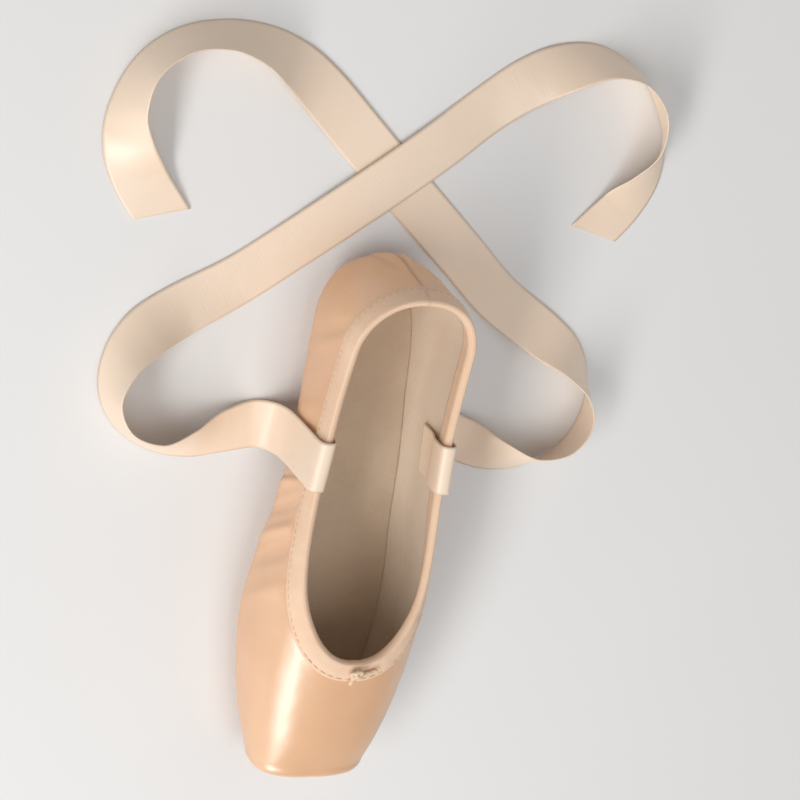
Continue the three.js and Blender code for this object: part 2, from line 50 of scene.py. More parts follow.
# The last's sections: y, half width, bottom, widest level, top, low fullness, top fullness.
lastRows = np.array(
    [
        (-0.114, 0.0270, 0.0063, 0.0200, 0.0385, 2.9, 2.50),
        (-0.104, 0.0302, 0.0037, 0.0192, 0.0426, 3.1, 2.42),
        (-0.092, 0.0333, 0.0021, 0.0186, 0.0466, 3.5, 2.35),
        (-0.072, 0.0370, 0.0019, 0.0180, 0.0518, 3.8, 2.30),
        (-0.050, 0.0390, 0.0019, 0.0180, 0.0566, 3.9, 2.25),
        (-0.028, 0.0378, 0.0019, 0.0186, 0.0620, 3.8, 2.20),
        (-0.008, 0.0348, 0.0028, 0.0196, 0.0680, 3.5, 2.20),
        (0.015, 0.0318, 0.0054, 0.0210, 0.0750, 3.2, 2.20),
        (0.036, 0.0302, 0.0050, 0.0218, 0.0810, 3.3, 2.20),
        (0.054, 0.0295, 0.0023, 0.0220, 0.0860, 3.6, 2.20),
        (0.070, 0.0292, 0.0019, 0.0220, 0.0890, 3.7, 2.20),
        (0.088, 0.0290, 0.0019, 0.0220, 0.0900, 3.7, 2.20),
    ]
)
# Height of the collar's edge: y, height.
collarRows = np.array(
    [
        (-0.052, 0.0561), (-0.038, 0.0539), (-0.018, 0.0502), (0.005, 0.0474), (0.030, 0.0464),
        (0.060, 0.0486), (0.090, 0.0540), (0.113, 0.0600),
    ]
)
outsoles = {
    "forefoot": {"middle": -0.053, "half": 0.040, "halfWidth": 0.0255, "skew": 0.22},
    "heel": {"middle": 0.0775, "half": 0.0245, "halfWidth": 0.018, "skew": -0.08},
}
sectionHeel = heel["y"] - heel["arc"]
sectionToe = toe["y"] + toe["fillet"]


# Cubic pieces through a table's column, each row's slope being that between its neighbours.
def tableColumn(rows, k, y):
    slopes = np.gradient(rows[:, k]) / np.gradient(rows[:, 0])
    i = np.clip(np.searchsorted(rows[:, 0], y, side="right") - 1, 0, len(rows) - 2)
    span = rows[i + 1, 0] - rows[i, 0]
    t = np.clip((y - rows[i, 0]) / span, 0, 1)
    ends = rows[i, k] * (1 + 2 * t) * (1 - t) ** 2 + rows[i + 1, k] * (3 - 2 * t) * t**2
    return ends + span * (slopes[i] * t * (1 - t) ** 2 - slopes[i + 1] * (1 - t) * t**2)


# The last's section at each y, drawn in by inset. Its half width shrinks behind as a quarter circle,
# and its top as a power of that. Ahead, all its sides draw in by a quarter circle.
def sectionAt(y, inset=0.0):
    y = np.asarray(y, float)
    inset = np.broadcast_to(np.asarray(inset, float), y.shape)
    along = np.clip(y, sectionToe, sectionHeel)
    w, low, mid, top, lowFull, topFull = (tableColumn(lastRows, k, along) for k in range(1, 7))
    w, low, top = w - inset, low + inset, top - inset
    turn = np.clip((y - sectionHeel) / heel["arc"], 0, 1)
    across = np.sqrt(1 - turn**2)
    under = np.clip((y - heel["y"] + heel["floorArc"]) / heel["floorArc"], 0, 1)
    back = y > sectionHeel
    place = np.where(back, sectionHeel + (heel["arc"] - inset) * turn, y)
    w = np.where(back, w * across, w)
    top = np.where(back, heel["bulge"] + (top - heel["bulge"]) * across ** heel["steepness"], top)
    low = np.where(back, heel["bulge"] - (heel["bulge"] - low) * np.sqrt(1 - under**2), low)
    front = y < sectionToe
    turn = np.clip((sectionToe - y) / toe["fillet"], 0, 1)
    drawn = toe["fillet"] * (1 - np.sqrt(1 - turn**2))
    place = np.where(front, sectionToe - (toe["fillet"] - inset * toe["insideShare"]) * turn, place)
    w, top, low = w - drawn * front, top - drawn * front, low + toe["underShare"] * drawn * front
    return {"y": place, "w": w, "low": low, "mid": mid, "top": top, "lowFull": lowFull, "topFull": topFull}


# Points of the last: the angle's sine and cosine, each raised to 2 over the section's fullness, times
# its half width and height. Angle 0 is the top of the foot and pi the middle of the underside.
def lastPoint(y, angle, inset=0.0):
    s = sectionAt(y, inset)
    a = np.abs(angle)
    upper = a < np.pi / 2
    power = 2 / np.where(upper, s["topFull"], s["lowFull"])
    reach = np.where(upper, s["top"] - s["mid"], s["low"] - s["mid"])
    x = s["w"] * np.sin(a).clip(0) ** power * np.sign(angle)
    z = s["mid"] + reach * np.abs(np.cos(a)) ** power
    return np.stack([x, s["y"] + 0 * x, z], -1)


# Outward directions of the last: square to its slopes round the section and along the foot.
def lastNormals(y, angle, inset=0.0):
    step = 1e-5
    along = lastPoint(y + step, angle, inset) - lastPoint(y - step, angle, inset)
    around = lastPoint(y, angle + step, inset) - lastPoint(y, angle - step, inset)
    out = np.cross(around, along)
    return out / np.maximum(np.linalg.norm(out, axis=-1, keepdims=True), 1e-12)


# Angle at which the collar's edge crosses the section: the arc cosine of the edge's share of the
# height, raised to half the fullness. It is 0 where the section is closed on top.
def collarAngle(y):
    y = np.asarray(y, float)
    s = sectionAt(y)
    share = (tableColumn(collarRows, 1, y) - s["mid"]) / np.maximum(s["top"] - s["mid"], 1e-6)
    edge = np.arccos(np.clip(share, 0, 1) ** (s["topFull"] / 2))
    return np.where((y > collar["throat"]) & (y < collar["back"]), edge, 0.0)


# 0 to 1 from start to end, as three times the square of the way less twice its cube.
def fade(value, start, end):
    t = np.clip((value - start) / (end - start), 0, 1)
    return t * t * (3 - 2 * t)


# The wall's thickness, which fades from the quarters' into the toe box's.
def wallAt(y):
    inBox = fade(np.asarray(y), wall["boxStarts"], wall["boxFull"])
    return wall["satin"] + (wall["box"] - wall["satin"]) * inBox


# Height of the last's low or top side over a place in plan: one less the share of the half width
# raised to the fullness, its root of that order taken, times that side's reach from the widest level.
def heightAt(side, x, y, inset=0.0):
    behind = np.maximum(y - sectionHeel, 0)
    s = sectionAt(y + behind * inset / (heel["arc"] - inset), inset)
    share = np.clip(np.abs(x) / np.maximum(s["w"], 1e-6), 0, 1)
    full = s[side + "Full"]
    return s["mid"] + (s[side] - s["mid"]) * (1 - share**full) ** (1 / full)


# The edge of an outsole's outline, which is an egg: x and y at a turn from its front.
def eggEdge(outline, turn):
    x = outline["halfWidth"] * np.sin(turn) * (1 + outline["skew"] * np.cos(turn))
    return x, outline["middle"] - outline["half"] * np.cos(turn)


# A soft bell: e to the minus square of the distance over the width.
def bump(d, width):
    return np.exp(-((d / width) ** 2))


# Shares of the way that start close together: one less the cosine of a quarter turn.
def eased(count):
    return 1 - np.cos(np.linspace(0, np.pi / 2, count, endpoint=False))


# Smooth unevenness from -1 to 1: the mean of six plane waves of nearby lengths in random directions.
def ripple(points, scale, seed):
    rng = np.random.default_rng(seed)
    total = np.zeros(points.shape[:-1])
    waves = 6
    for _ in range(waves):
        way = rng.normal(size=3)
        way *= 2 * np.pi / np.linalg.norm(way) / scale / rng.uniform(0.7, 1.5)
        total += np.sin(points @ way + rng.uniform(0, 2 * np.pi))
    return total / waves


# Lengths along lines of points, each the sum of the steps before it.
def runAlong(lines):
    steps = np.linalg.norm(np.diff(lines, axis=-2), axis=-1)
    return np.concatenate([np.zeros((*steps.shape[:-1], 1)), np.cumsum(steps, axis=-1)], axis=-1)


# Vectors over their lengths.
def unit(vectors):
    return vectors / np.linalg.norm(vectors, axis=-1, keepdims=True)


# Corner indices of the quads of a grid laid out row by row.
def gridQuads(rows, columns, start=0, wrapRows=False, wrapColumns=False, flip=False):
    i = np.arange(rows if wrapRows else rows - 1)
    j = np.arange(columns if wrapColumns else columns - 1)
    i, j = (a.ravel() for a in np.meshgrid(i, j, indexing="ij"))
    here, ahead = i * columns, (i + 1) % rows * columns
    jNext = (j + 1) % columns
    quads = np.stack([here + j, here + jNext, ahead + jNext, ahead + j], 1) + start
    return quads[:, ::-1] if flip else quads


# A new object in the scene.
def addObject(name, data):
    made = bpy.data.objects.new(name, data)
    bpy.context.scene.collection.objects.link(made)
    return made


# A smooth-shaded mesh on the shoe's body, standing for the CAD nodes. The surface attribute holds
# each point's run, its place across and its tone, which on the upper is painted shade along the seams,
# and on the outsoles their dark cut edges with painted shade in their grooves.
def makePiece(name, points, faces, materials, nodes=(), kinds=None, surface=None, weld=0.0):
    mesh = bpy.data.meshes.new(name)
    faces = faces.tolist() if isinstance(faces, np.ndarray) else faces
    mesh.from_pydata(np.asarray(points).reshape(-1, 3).tolist(), [], faces)
    if surface is not None:
        layer = mesh.attributes.new("surface", "FLOAT_VECTOR", "POINT")
        layer.data.foreach_set("vector", np.asarray(surface, np.float32).reshape(-1))
    for material in materials:
        mesh.materials.append(material)
    if kinds is not None:
        mesh.polygons.foreach_set("material_index", np.asarray(kinds, np.int32))
    if weld:
        cleaner = bmesh.new()
        cleaner.from_mesh(mesh)
        bmesh.ops.remove_doubles(cleaner, verts=cleaner.verts, dist=weld)
        cleaner.to_mesh(mesh)
        cleaner.free()
    mesh.polygons.foreach_set("use_smooth", [True] * len(mesh.polygons))
    mesh.update()
    piece = addObject(name, mesh)
    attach(piece, "root")
    if nodes:
        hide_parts(*nodes)
    return piece


# Camera, which keeps the photo's angle to the shoe: degrees, millimetres of lens and film.
view = {"turn": 26, "lean": 18, "roll": 11, "lens": 85, "film": 36, "margin": 1.07}
# The outermost places of the shoe and its ribbons.
framed = [
    (-0.125, 0.171, 0.020), (-0.114, 0.052, 0.022), (-0.084, 0.206, 0.021), (0.117, 0.050, 0.022),
    (0.129, 0.178, 0.020), (0.086, 0.215, 0.021), (-0.026, -0.120, 0.020), (0.0, -0.116, 0.038),
    (0.026, -0.120, 0.020),
]


# Stands off along the photo's direction, rolled as the photo is. Each round centres the places as
# they are seen, and scales the distance by half their span, until all are just in view.
def aimCamera():
    turn, lean, roll = (math.radians(view[k]) for k in ("turn", "lean", "roll"))
    back = Vector((-math.sin(turn) * math.cos(lean), math.sin(lean), math.cos(turn) * math.cos(lean)))
    up = (Vector((0, 1, 0)) - back * back.y).normalized()
    right = up.cross(back)
    rolledRight = right * math.cos(roll) + up * math.sin(roll)
    rolledUp = up * math.cos(roll) - right * math.sin(roll)
    places = np.array(framed) @ np.array((rolledRight, rolledUp, back)).T
    reach = view["lens"] / view["film"] * 2  # the distance at which half the frame is one unit wide
    distance, rounds = 2.0, 20
    at = np.array([*places.mean(0)[:2], distance])
    for _ in range(rounds):
        seen = (places[:, :2] - at[:2]) * reach / (at[2] - places[:, 2:])
        low, high = seen.min(0), seen.max(0)
        at[:2] += (low + high) / 2 * at[2] / reach
        at[2] *= (high - low).max() / 2 * view["margin"]
    data = bpy.data.cameras.new("camera")
    data.lens, data.sensor_width = view["lens"], view["film"]
    camera = addObject("camera", data)
    camera.matrix_world = Matrix((rolledRight, rolledUp, back)).transposed().to_4x4()
    camera.location = rolledRight * at[0] + rolledUp * at[1] + back * at[2]
    bpy.context.scene.camera = camera


aimCamera()
print("camera placed")


# Materials
# A Principled material with its constants set on the shader.
def newMaterial(name, color, roughness, settings):
    material = bpy.data.materials.new(name)
    material.use_nodes = True
    shader = material.node_tree.nodes["Principled BSDF"]
    shader.inputs["Base Color"].default_value = (*color, 1)
    shader.inputs["Roughness"].default_value = roughness
    for key, value in settings.items():
        shader.inputs[key].default_value = value
    return material, material.node_tree, shader


# A new shader node with its settings and socket values.
def node(tree, kind, values=None, **settings):
    made = tree.nodes.new(kind)
    for key, value in settings.items():
        setattr(made, key, value)
    for key, value in (values or {}).items():
        made.inputs[key].default_value = value
    return made


# Links one node's output to another's input.
def join(tree, source, outlet, target, inlet):
    tree.links.new(source.outputs[outlet], target.inputs[inlet])


# The surface attribute that makePiece gives a piece, and its parts.
def surfaceParts(tree):
    surface = node(tree, "ShaderNodeAttribute", attribute_name="surface")
    parts = node(tree, "ShaderNodeSeparateXYZ")
    join(tree, surface, "Vector", parts, 0)
    return surface, parts


# A noise over the coordinates that a node gives out.
def noise(tree, source, outlet, scale, detail, roughness=0.5):
    made = node(tree, "ShaderNodeTexNoise", {"Scale": scale, "Detail": detail, "Roughness": roughness})
    join(tree, source, outlet, made, "Vector")
    return made


# A colour mix between two colours by a factor; either colour may be a node.
def mixColors(tree, source, outlet, first, second):
    mix = node(tree, "ShaderNodeMix", data_type="RGBA")
    join(tree, source, outlet, mix, 0)
    for inlet, value in ((6, first), (7, second)):  # the sockets of the two colours
        if isinstance(value, tuple):
            mix.inputs[inlet].default_value = (*value, 1)
        else:
            join(tree, value, 2, mix, inlet)
    return mix


# Relief from a node's height, as bump.
def emboss(tree, source, outlet, shader, strength, distance):
    relief = node(tree, "ShaderNodeBump", {"Strength": strength, "Distance": distance})
    join(tree, source, outlet, relief, "Height")
    join(tree, relief, "Normal", shader, "Normal")


# Fine crossed threads as bump: the sum of two waves at a right angle.
def weave(tree, source, outlet, shader, scale):
    add = node(tree, "ShaderNodeMath", operation="ADD")
    for inlet, (direction, share) in enumerate((("X", 1.0), ("Y", cloth["weftShare"]))):
        values = {"Scale": scale * share, "Distortion": cloth["distortion"], "Detail": 1.0}
        wave = node(tree, "ShaderNodeTexWave", values, bands_direction=direction)
        join(tree, source, outlet, wave, "Vector")
        join(tree, wave, "Fac", add, inlet)
    emboss(tree, add, 0, shader, cloth["strength"], cloth["depth"])


# Satin: a smooth face whose threads run across the foot, with an uneven tone, painted shade along the
# seams' grooves and a soft coloured sheen. Noises shift its tone and roughness and raise its threads.
def satinMaterial(name, base, shade, look):
    material, tree, shader = newMaterial(name, base, look["roughness"], look["shader"])
    surface, parts = surfaceParts(tree)
    tone = noise(tree, node(tree, "ShaderNodeTexCoord"), "Object", look["toneScale"], 3.0)
    limits = {"From Min": look["toneFrom"], "From Max": look["toneTo"], "To Max": look["uneven"]}
    toneRange = node(tree, "ShaderNodeMapRange", limits)
    join(tree, tone, 0, toneRange, 0)
    mixed = mixColors(tree, toneRange, 0, base, shade)
    # Painted shade: the surface attribute's third part darkens the colour towards a darker copy of the shade
    # along the upper's seams; on the ribbons the same part is the darker tone of their own woven edges.
    seamGrooveShade = node(tree, "ShaderNodeMath", {1: look["seamShadeAndHemTone"]}, operation="MULTIPLY")
    join(tree, parts, "Z", seamGrooveShade, 0)
    final = mixColors(tree, seamGrooveShade, 0, mixed, tuple(c * look["seamShade"] for c in shade))
    join(tree, final, 2, shader, "Base Color")
    smoothest, roughest = (look["roughness"] + change for change in look["roughnessSwing"])
    rough = node(tree, "ShaderNodeMapRange", {"To Min": smoothest, "To Max": roughest})
    join(tree, tone, 0, rough, 0)
    join(tree, rough, 0, shader, "Roughness")
    stretch = node(tree, "ShaderNodeMapping", {"Scale": look["slub"]})
    join(tree, surface, "Vector", stretch, "Vector")
    emboss(tree, noise(tree, stretch, 0, 1.0, 2.0, 0.6), 0, shader, look["strength"], look["depth"])
    along = node(tree, "ShaderNodeTangent", direction_type="RADIAL", axis="Y")
    join(tree, along, 0, shader, "Tangent")
    return material


# Plain cotton: matt, with visible threads, which can follow the piece's own run and width.
def clothMaterial(name, base, shade, roughness, threadScale, onSurface):
    material, tree, shader = newMaterial(name, base, roughness, cloth["shader"])
    place = node(tree, "ShaderNodeTexCoord")
    tone = noise(tree, place, "Object", cloth["toneScale"], 4.0)
    join(tree, mixColors(tree, tone, 0, base, shade), 2, shader, "Base Color")
    if onSurface:
        surface = node(tree, "ShaderNodeAttribute", attribute_name="surface")
        weave(tree, surface, "Vector", shader, threadScale)
    else:
        weave(tree, place, "Object", shader, threadScale)
    return material


# Suede sole leather: a fine nap, blotches of wear, and dark cut edges, with painted shade in the
# notches, the channel and the scored grooves.
def leatherMaterial():
    look = leatherLook
    material, tree, shader = newMaterial("sole_leather", look["base"], look["roughness"], look["shader"])
    place = node(tree, "ShaderNodeTexCoord")
    blotches = noise(tree, place, "Object", look["blotches"], 5.0, 0.6)
    blend = mixColors(tree, blotches, 0, look["base"], look["worn"])
    _, parts = surfaceParts(tree)
    # The surface attribute's third part mixes in the dark colour: the cut edges' own colour, and painted
    # shade in the notches, the channel and the scored grooves.
    join(tree, mixColors(tree, parts, "Z", blend, look["cut"]), 2, shader, "Base Color")
    nap = noise(tree, place, "Object", look["nap"], 3.0, 0.7)
    emboss(tree, nap, 0, shader, look["strength"], look["depth"])
    return material


shoeSatin = {
    "roughness": 0.31,
    "roughnessSwing": (-0.05, 0.07),
    "shader": {
        "Anisotropic": 0.5,
        "Specular IOR Level": 0.9,
        "IOR": 1.85,
        "Sheen Weight": 0.06,
        "Sheen Roughness": 0.4,
        "Sheen Tint": (1.0, 0.86, 0.72, 1.0),
    },
    "toneScale": 30.0,
    "toneFrom": 0.38,
    "toneTo": 0.66,
    "uneven": 0.35,
    # how strongly painted shade darkens the upper's seams, and the ribbons' woven edges in their own darker
    # tone
    "seamShadeAndHemTone": 0.6,
    "seamShade": 0.5,
    "slub": (1500.0, 60.0, 0.0),  # threads and their slubs: fine along the foot, long round it
    "strength": 0.4,
    "depth": 0.0002,
}
ribbonLook = {**shoeSatin, "roughness": 0.42, "uneven": 0.2, "slub": (1600.0, 120.0, 0.0)}
ribbonLook["shader"] = {**shoeSatin["shader"], "IOR": 1.6}
cloth = {
    "shader": {"Sheen Weight": 0.15, "Specular IOR Level": 0.25}, "toneScale": 90.0,
    "weftShare": 0.55, "distortion": 1.2, "strength": 0.5, "depth": 0.0002,
}
leatherLook = {
    # cut: the dark of the cut edges, also used as painted shade in the notches, the channel and the grooves
    "base": (0.60, 0.31, 0.165), "worn": (0.70, 0.41, 0.24), "cut": (0.16, 0.07, 0.03),
    "roughness": 0.78,
    "shader": {"Sheen Weight": 0.3, "Sheen Roughness": 0.5, "Specular IOR Level": 0.3},
    "blotches": 70.0, "nap": 2600.0, "strength": 0.35, "depth": 0.0002,
}
# Each cotton's two tones, roughness, thread scale, and whether its threads follow the surface.
cottons = {
    "binding_tape": ((0.90, 0.66, 0.48), (0.84, 0.57, 0.39), 0.5, 600.0, True),
    "lining_cotton": ((0.80, 0.67, 0.54), (0.74, 0.60, 0.46), 0.9, 500.0, True),
    "insole_cotton": ((0.72, 0.58, 0.44), (0.63, 0.49, 0.36), 0.9, 600.0, False),
    "drawstring_cotton": ((0.86, 0.66, 0.46), (0.76, 0.56, 0.38), 0.8, 700.0, False),
    "stitch_thread": ((0.80, 0.55, 0.36), (0.70, 0.46, 0.28), 0.6, 900.0, False),
}
satin = satinMaterial("satin", (0.77, 0.45, 0.245), (0.67, 0.35, 0.17), shoeSatin)
ribbonSatin = satinMaterial("ribbon_satin", (0.90, 0.72, 0.56), (0.84, 0.62, 0.45), ribbonLook)
cotton = {name: clothMaterial(name, *values) for name, values in cottons.items()}
soleLeather = leatherMaterial()
print("materials made")

# Ribbons: the routes of the CAD solids
ribbon = {
    "width": 0.022,
    "thickness": 0.0005,
    "solid": 0.0006,
    "length": 0.53,
    "slant": 0.005,
    "slantRows": 6,
    "offFloor": 0.00005,
    "across": (-0.06, 1, 0.04),  # the way the hanging stretch's width runs
    "hem": 0.9,  # share of the half width at which the firm woven edge begins
    "hemThickness": 1.15,
    "faceThickness": 0.9,
    "hemTone": 0.18,
}
ribbonWave = {"height": 0.00035, "scale": 0.03, "flatShare": 0.4, "hungShare": 0.35, "left": 5, "right": 6}
ribbonHang = [
    (0.0277, 0.036, 0.022), (0.0276, 0.036, 0.028), (0.0268, 0.036, 0.0335), (0.0251, 0.036, 0.039),
    (0.0246, 0.036, 0.0455), (0.0252, 0.036, 0.0481), (0.0264, 0.036, 0.0492),
    (0.0282, 0.036, 0.0495), (0.0299, 0.036, 0.0492), (0.0311, 0.036, 0.0480),
    (0.0316, 0.036, 0.0455), (0.0317, 0.036, 0.038), (0.0317, 0.036, 0.028), (0.0319, 0.036, 0.018),
    (0.0330, 0.036, 0.0095), (0.0362, 0.036, 0.0034),
]
# On the floor: x, y, bank in degrees (0 lies flat, 90 stands on edge), lift.
ribbonFloor = {
    "left": [
        (0.042, 0.036, 0, 0.0004), (0.056, 0.0325, 12, 0), (0.072, 0.027, 36, 0),
        (0.09, 0.0255, 62, 0), (0.106, 0.033, 76, 0), (0.1135, 0.047, 78, 0), (0.111, 0.062, 66, 0),
        (0.101, 0.075, 42, 0), (0.086, 0.0845, 14, 0), (0.061, 0.0995, 2, 0), (0.04, 0.117, 0, 0),
        (0.02, 0.1335, 0, 0), (0, 0.15, 0, 0), (-0.02, 0.167, 1, 0), (-0.036, 0.1805, 8, 0),
        (-0.05, 0.1905, 26, 0), (-0.066, 0.198, 50, 0), (-0.084, 0.2005, 68, 0),
        (-0.101, 0.1965, 76, 0), (-0.114, 0.185, 76, 0), (-0.119, 0.1685, 64, 0),
        (-0.116, 0.152, 36, 0), (-0.108, 0.138, 10, 0), (-0.097, 0.1245, 0, 0),
    ],
    "right": [
        (-0.042, 0.036, 0, 0.0004), (-0.056, 0.033, 14, 0), (-0.072, 0.0285, 40, 0),
        (-0.089, 0.028, 66, 0), (-0.1035, 0.0355, 78, 0), (-0.1105, 0.049, 78, 0),
        (-0.108, 0.0635, 64, 0), (-0.0985, 0.076, 40, 0), (-0.083, 0.086, 14, 0),
        (-0.061, 0.099, 2, 0), (-0.04, 0.115, 0, 0.0003), (-0.02, 0.1315, 0, 0.0013),
        (0, 0.148, 0, 0.0017), (0.02, 0.165, 0, 0.0012), (0.038, 0.1815, 1, 0.0002),
        (0.053, 0.1945, 14, 0), (0.068, 0.204, 38, 0), (0.085, 0.209, 62, 0), (0.102, 0.205, 76, 0),
        (0.115, 0.193, 76, 0), (0.121, 0.176, 60, 0), (0.119, 0.159, 30, 0), (0.112, 0.145, 6, 0),
        (0.102, 0.132, 0, 0),
    ],
}


# A smooth line through points, its knots spaced by the square root of the distance between them, and
# each span a cubic with a slope at both ends.
def throughPoints(points, perSpan):
    p = np.vstack([2 * points[0] - points[1], points, 2 * points[-1] - points[-2]])
    t = (np.arange(perSpan) / perSpan)[:, None]
    made = []
    for i in range(1, len(p) - 2):
        p0, p1, p2, p3 = p[i - 1 : i + 3]
        t0, t1, t2 = (max(np.linalg.norm(b - a) ** 0.5, 1e-6) for a, b in ((p0, p1), (p1, p2), (p2, p3)))
        m1 = ((p1 - p0) / t0 - (p2 - p0) / (t0 + t1) + (p2 - p1) / t1) * t1
        m2 = ((p2 - p1) / t1 - (p3 - p1) / (t1 + t2) + (p3 - p2) / t2) * t1
        ends = (1 + 2 * t) * (1 - t) ** 2 * p1 + (3 - 2 * t) * t**2 * p2
        made.append(ends + t * (1 - t) ** 2 * m1 - (1 - t) * t**2 * m2)
    return np.vstack([*made, p[-2:-1]])


# The ribbon's centreline, and the directions along it, across it and out of its face. On the floor
# its middle stands up by half the width times the sine of its bank.
def ribbonFrames(side, perSpan):
    sign = 1 if side == "left" else -1
    hang = np.array(ribbonHang) * (sign, 1, 1)
    floor = np.array(ribbonFloor[side])
    tilt = np.radians(floor[:, 2])
    height = ribbon["solid"] / 2 + ribbon["offFloor"] + ribbon["width"] / 2 * np.sin(tilt) + floor[:, 3]
    points = np.vstack([hang, np.column_stack([floor[:, :2], height])])
    ends = np.clip(np.arange(len(floor))[:, None] + (-1, 1), 0, len(floor) - 1)
    heading = unit(floor[ends[:, 1], :2] - floor[ends[:, 0], :2])
    flat = np.column_stack([-heading[:, 1], heading[:, 0]]) * sign * np.cos(tilt)[:, None]
    hung = np.tile(unit(np.array(ribbon["across"]) * (sign, 1, 1)), (len(hang), 1))
    across = np.vstack([hung, np.column_stack([flat, np.sin(tilt)])])
    line = throughPoints(points, perSpan)
    tangent = unit(np.gradient(line, axis=0))
    across = throughPoints(across, perSpan)
    across = unit(across - tangent * (across * tangent).sum(1, keepdims=True))
    out = np.cross(tangent, across)
    rest = ribbon["width"] / 2 * np.abs(across[:, 2]) + ribbon["solid"] / 2 * np.abs(out[:, 2])
    line[:, 2] = np.maximum(line[:, 2], rest + ribbon["offFloor"])
    return line, tangent, across, out


# Satin ribbon: a flat strip carried along the centreline, with thicker woven edges, a slight
# unevenness between them and a slanted cut.
def makeRibbon(side):
    perSpan, columns = ((14, 16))
    line, tangent, across, out = ribbonFrames(side, perSpan)
    travelled = runAlong(line)
    shares = np.linspace(-1, 1, columns + 1)
    hem = np.abs(shares) > ribbon["hem"]
    half = ribbon["thickness"] / 2 * np.where(hem, ribbon["hemThickness"], ribbon["faceThickness"])
    base = line[:, None] + across[:, None] * (shares * ribbon["width"] / 2)[None, :, None]
    wave = ribbonWave["height"] * ripple(base, ribbonWave["scale"], ribbonWave[side])
    onFloor = (line[:, 2:3] < 0.004) & (np.abs(out[:, 2:3]) > 0.9)
    raised = np.abs(wave) * np.sign(out[:, 2:3]) * ribbonWave["flatShare"]
    wave = np.where(onFloor, raised, wave * ribbonWave["hungShare"]) * (1 - shares[None] ** 4)
    rows = ribbon["slantRows"]
    ramp = np.arange(1, rows + 1) / rows
    cut = tangent[-1] * (1, 1, 0) * ribbon["slant"]
    base[-rows:] += cut[None, None] * shares[None, :, None] * ramp[:, None, None]
    face = [base + out[:, None] * (wave + s * half[None])[..., None] for s in (1, -1)]
    ring = np.concatenate([face[0], face[1][:, ::-1]], axis=1)
    count, around = ring.shape[:2]
    faces = gridQuads(count, around, wrapColumns=True, flip=True).tolist()
    for start, turned in ((0, False), ((count - 1) * around, True)):
        for j in range(columns):
            quad = [start + j, start + j + 1, start + around - 2 - j, start + around - 1 - j]
            faces.append(quad[::-1] if turned else quad)
    places = np.concatenate([shares, shares[::-1]]) * ribbon["width"] / 2
    tone = np.concatenate([hem, hem[::-1]]) * ribbon["hemTone"]
    surface = np.stack(np.broadcast_arrays(travelled[:, None], places, tone), -1)
    name = f"ribbon_{side}"
    piece = makePiece(name + "_satin", ring, faces, [ribbonSatin], [name], surface=surface)
    print("ribbon", side, "centreline", round(float(travelled[-1]), 3))


for side in ("left", "right"):
    makeRibbon(side)


# The collar's edge and its binding
binding = {
    "width": 0.0085,
    "inside": 0.007,
    "tape": 0.0008,
    "puff": 0.00025,
    "foldReach": 0.0004,
    "pull": 0.045,  # how far from the throat the drawstring gathers the tape
    # The gathers' height, its addition at the throat, scale and seed.
    "gathers": ((0.00008, 0.00022, 0.0065, 11), (0.00010, 0.0, 0.015, 12)),
}
# The outer leg from its lower edge up: share of the width, and lift off the wall.
tapeProfile = (
    (1.0, 0.0), (1.0, 0.55), (0.97, 0.9), (0.9, 1.0), (0.82, 0.9), (0.74, 0.97), (0.62, 1.15),
    (0.5, 1.25), (0.38, 1.2), (0.25, 1.08), (0.12, 1.0),
)


# The points of the last, drawn in by inset, at the angles of nearby points, which come from their
# shares of the section's half width and height.
def ontoLast(points, inset):
    s = sectionAt(points[:, 1])
    upper = points[:, 2] > s["mid"]
    half = np.where(upper, s["topFull"], s["lowFull"]) / 2
    reach = np.where(upper, s["top"] - s["mid"], s["mid"] - s["low"])
    across = (np.abs(points[:, 0]) / np.maximum(s["w"], 1e-6)) ** half
    rise = (np.abs(points[:, 2] - s["mid"]) / reach) ** half
    angle = np.where(upper, np.arctan2(across, rise), np.pi - np.arctan2(across, rise))
    return lastPoint(points[:, 1], angle * np.where(points[:, 0] < 0, -1, 1), inset)


# The collar's edge as a closed loop: places, the directions out of the wall and down it, and the run
# along the edge.
def collarLoop(fine):
    endRows, sideRows = int(60 * fine), int(150 * fine)
    back = collar["back"] - (collar["back"] - sectionHeel) * eased(endRows)
    body = np.linspace(sectionHeel, collar["throat"] + collar["roundedOver"], sideRows, endpoint=False)
    front = collar["throat"] + collar["roundedOver"] * (1 - np.sin(np.linspace(0, np.pi / 2, endRows)))
    y = np.concatenate([back, body, front])
    left = len(y)
    y = np.concatenate([y, y[-2:0:-1]])
    angle = collarAngle(y) * np.where(np.arange(len(y)) < left, 1, -1)
    at = lastPoint(y, angle)
    out = lastNormals(y, angle)
    down = unit(np.cross(out, unit(np.roll(at, -1, 0) - np.roll(at, 1, 0))))
    return {"y": y, "at": at, "down": down, "out": out, "run": runAlong(at)}


loop = collarLoop(1.0)


# Places on the wall at a distance down from the edge and off its outer or inner face.
def onWall(distance, off, inside=False):
    down = loop["down"]
    distance = np.broadcast_to(distance, len(down))
    below = loop["at"] + down * np.maximum(distance, 0)[:, None]
    place = ontoLast(below, wallAt(below[:, 1]) + off if inside else -off + 0 * distance)
    return place + down * np.minimum(distance, 0)[:, None]


# The satin upper
upperGrid = {
    "heel": 15, "heelCurve": 26, "sides": 98, "throat": 34, "vamp": 58, "fillet": 11, "platform": 9,
    "outerHalf": 162, "innerHalf": 30, "sectionSteps": 400, "lidSteps": 60,
}
# Beside the opening's ends: over what length the columns give way to the edge, how that grows with
# the opening, and the openings over which all the columns come to share in it.
giving = {"length": 0.010, "growth": 2.5, "shareFrom": 0.004, "shareTo": 0.022}


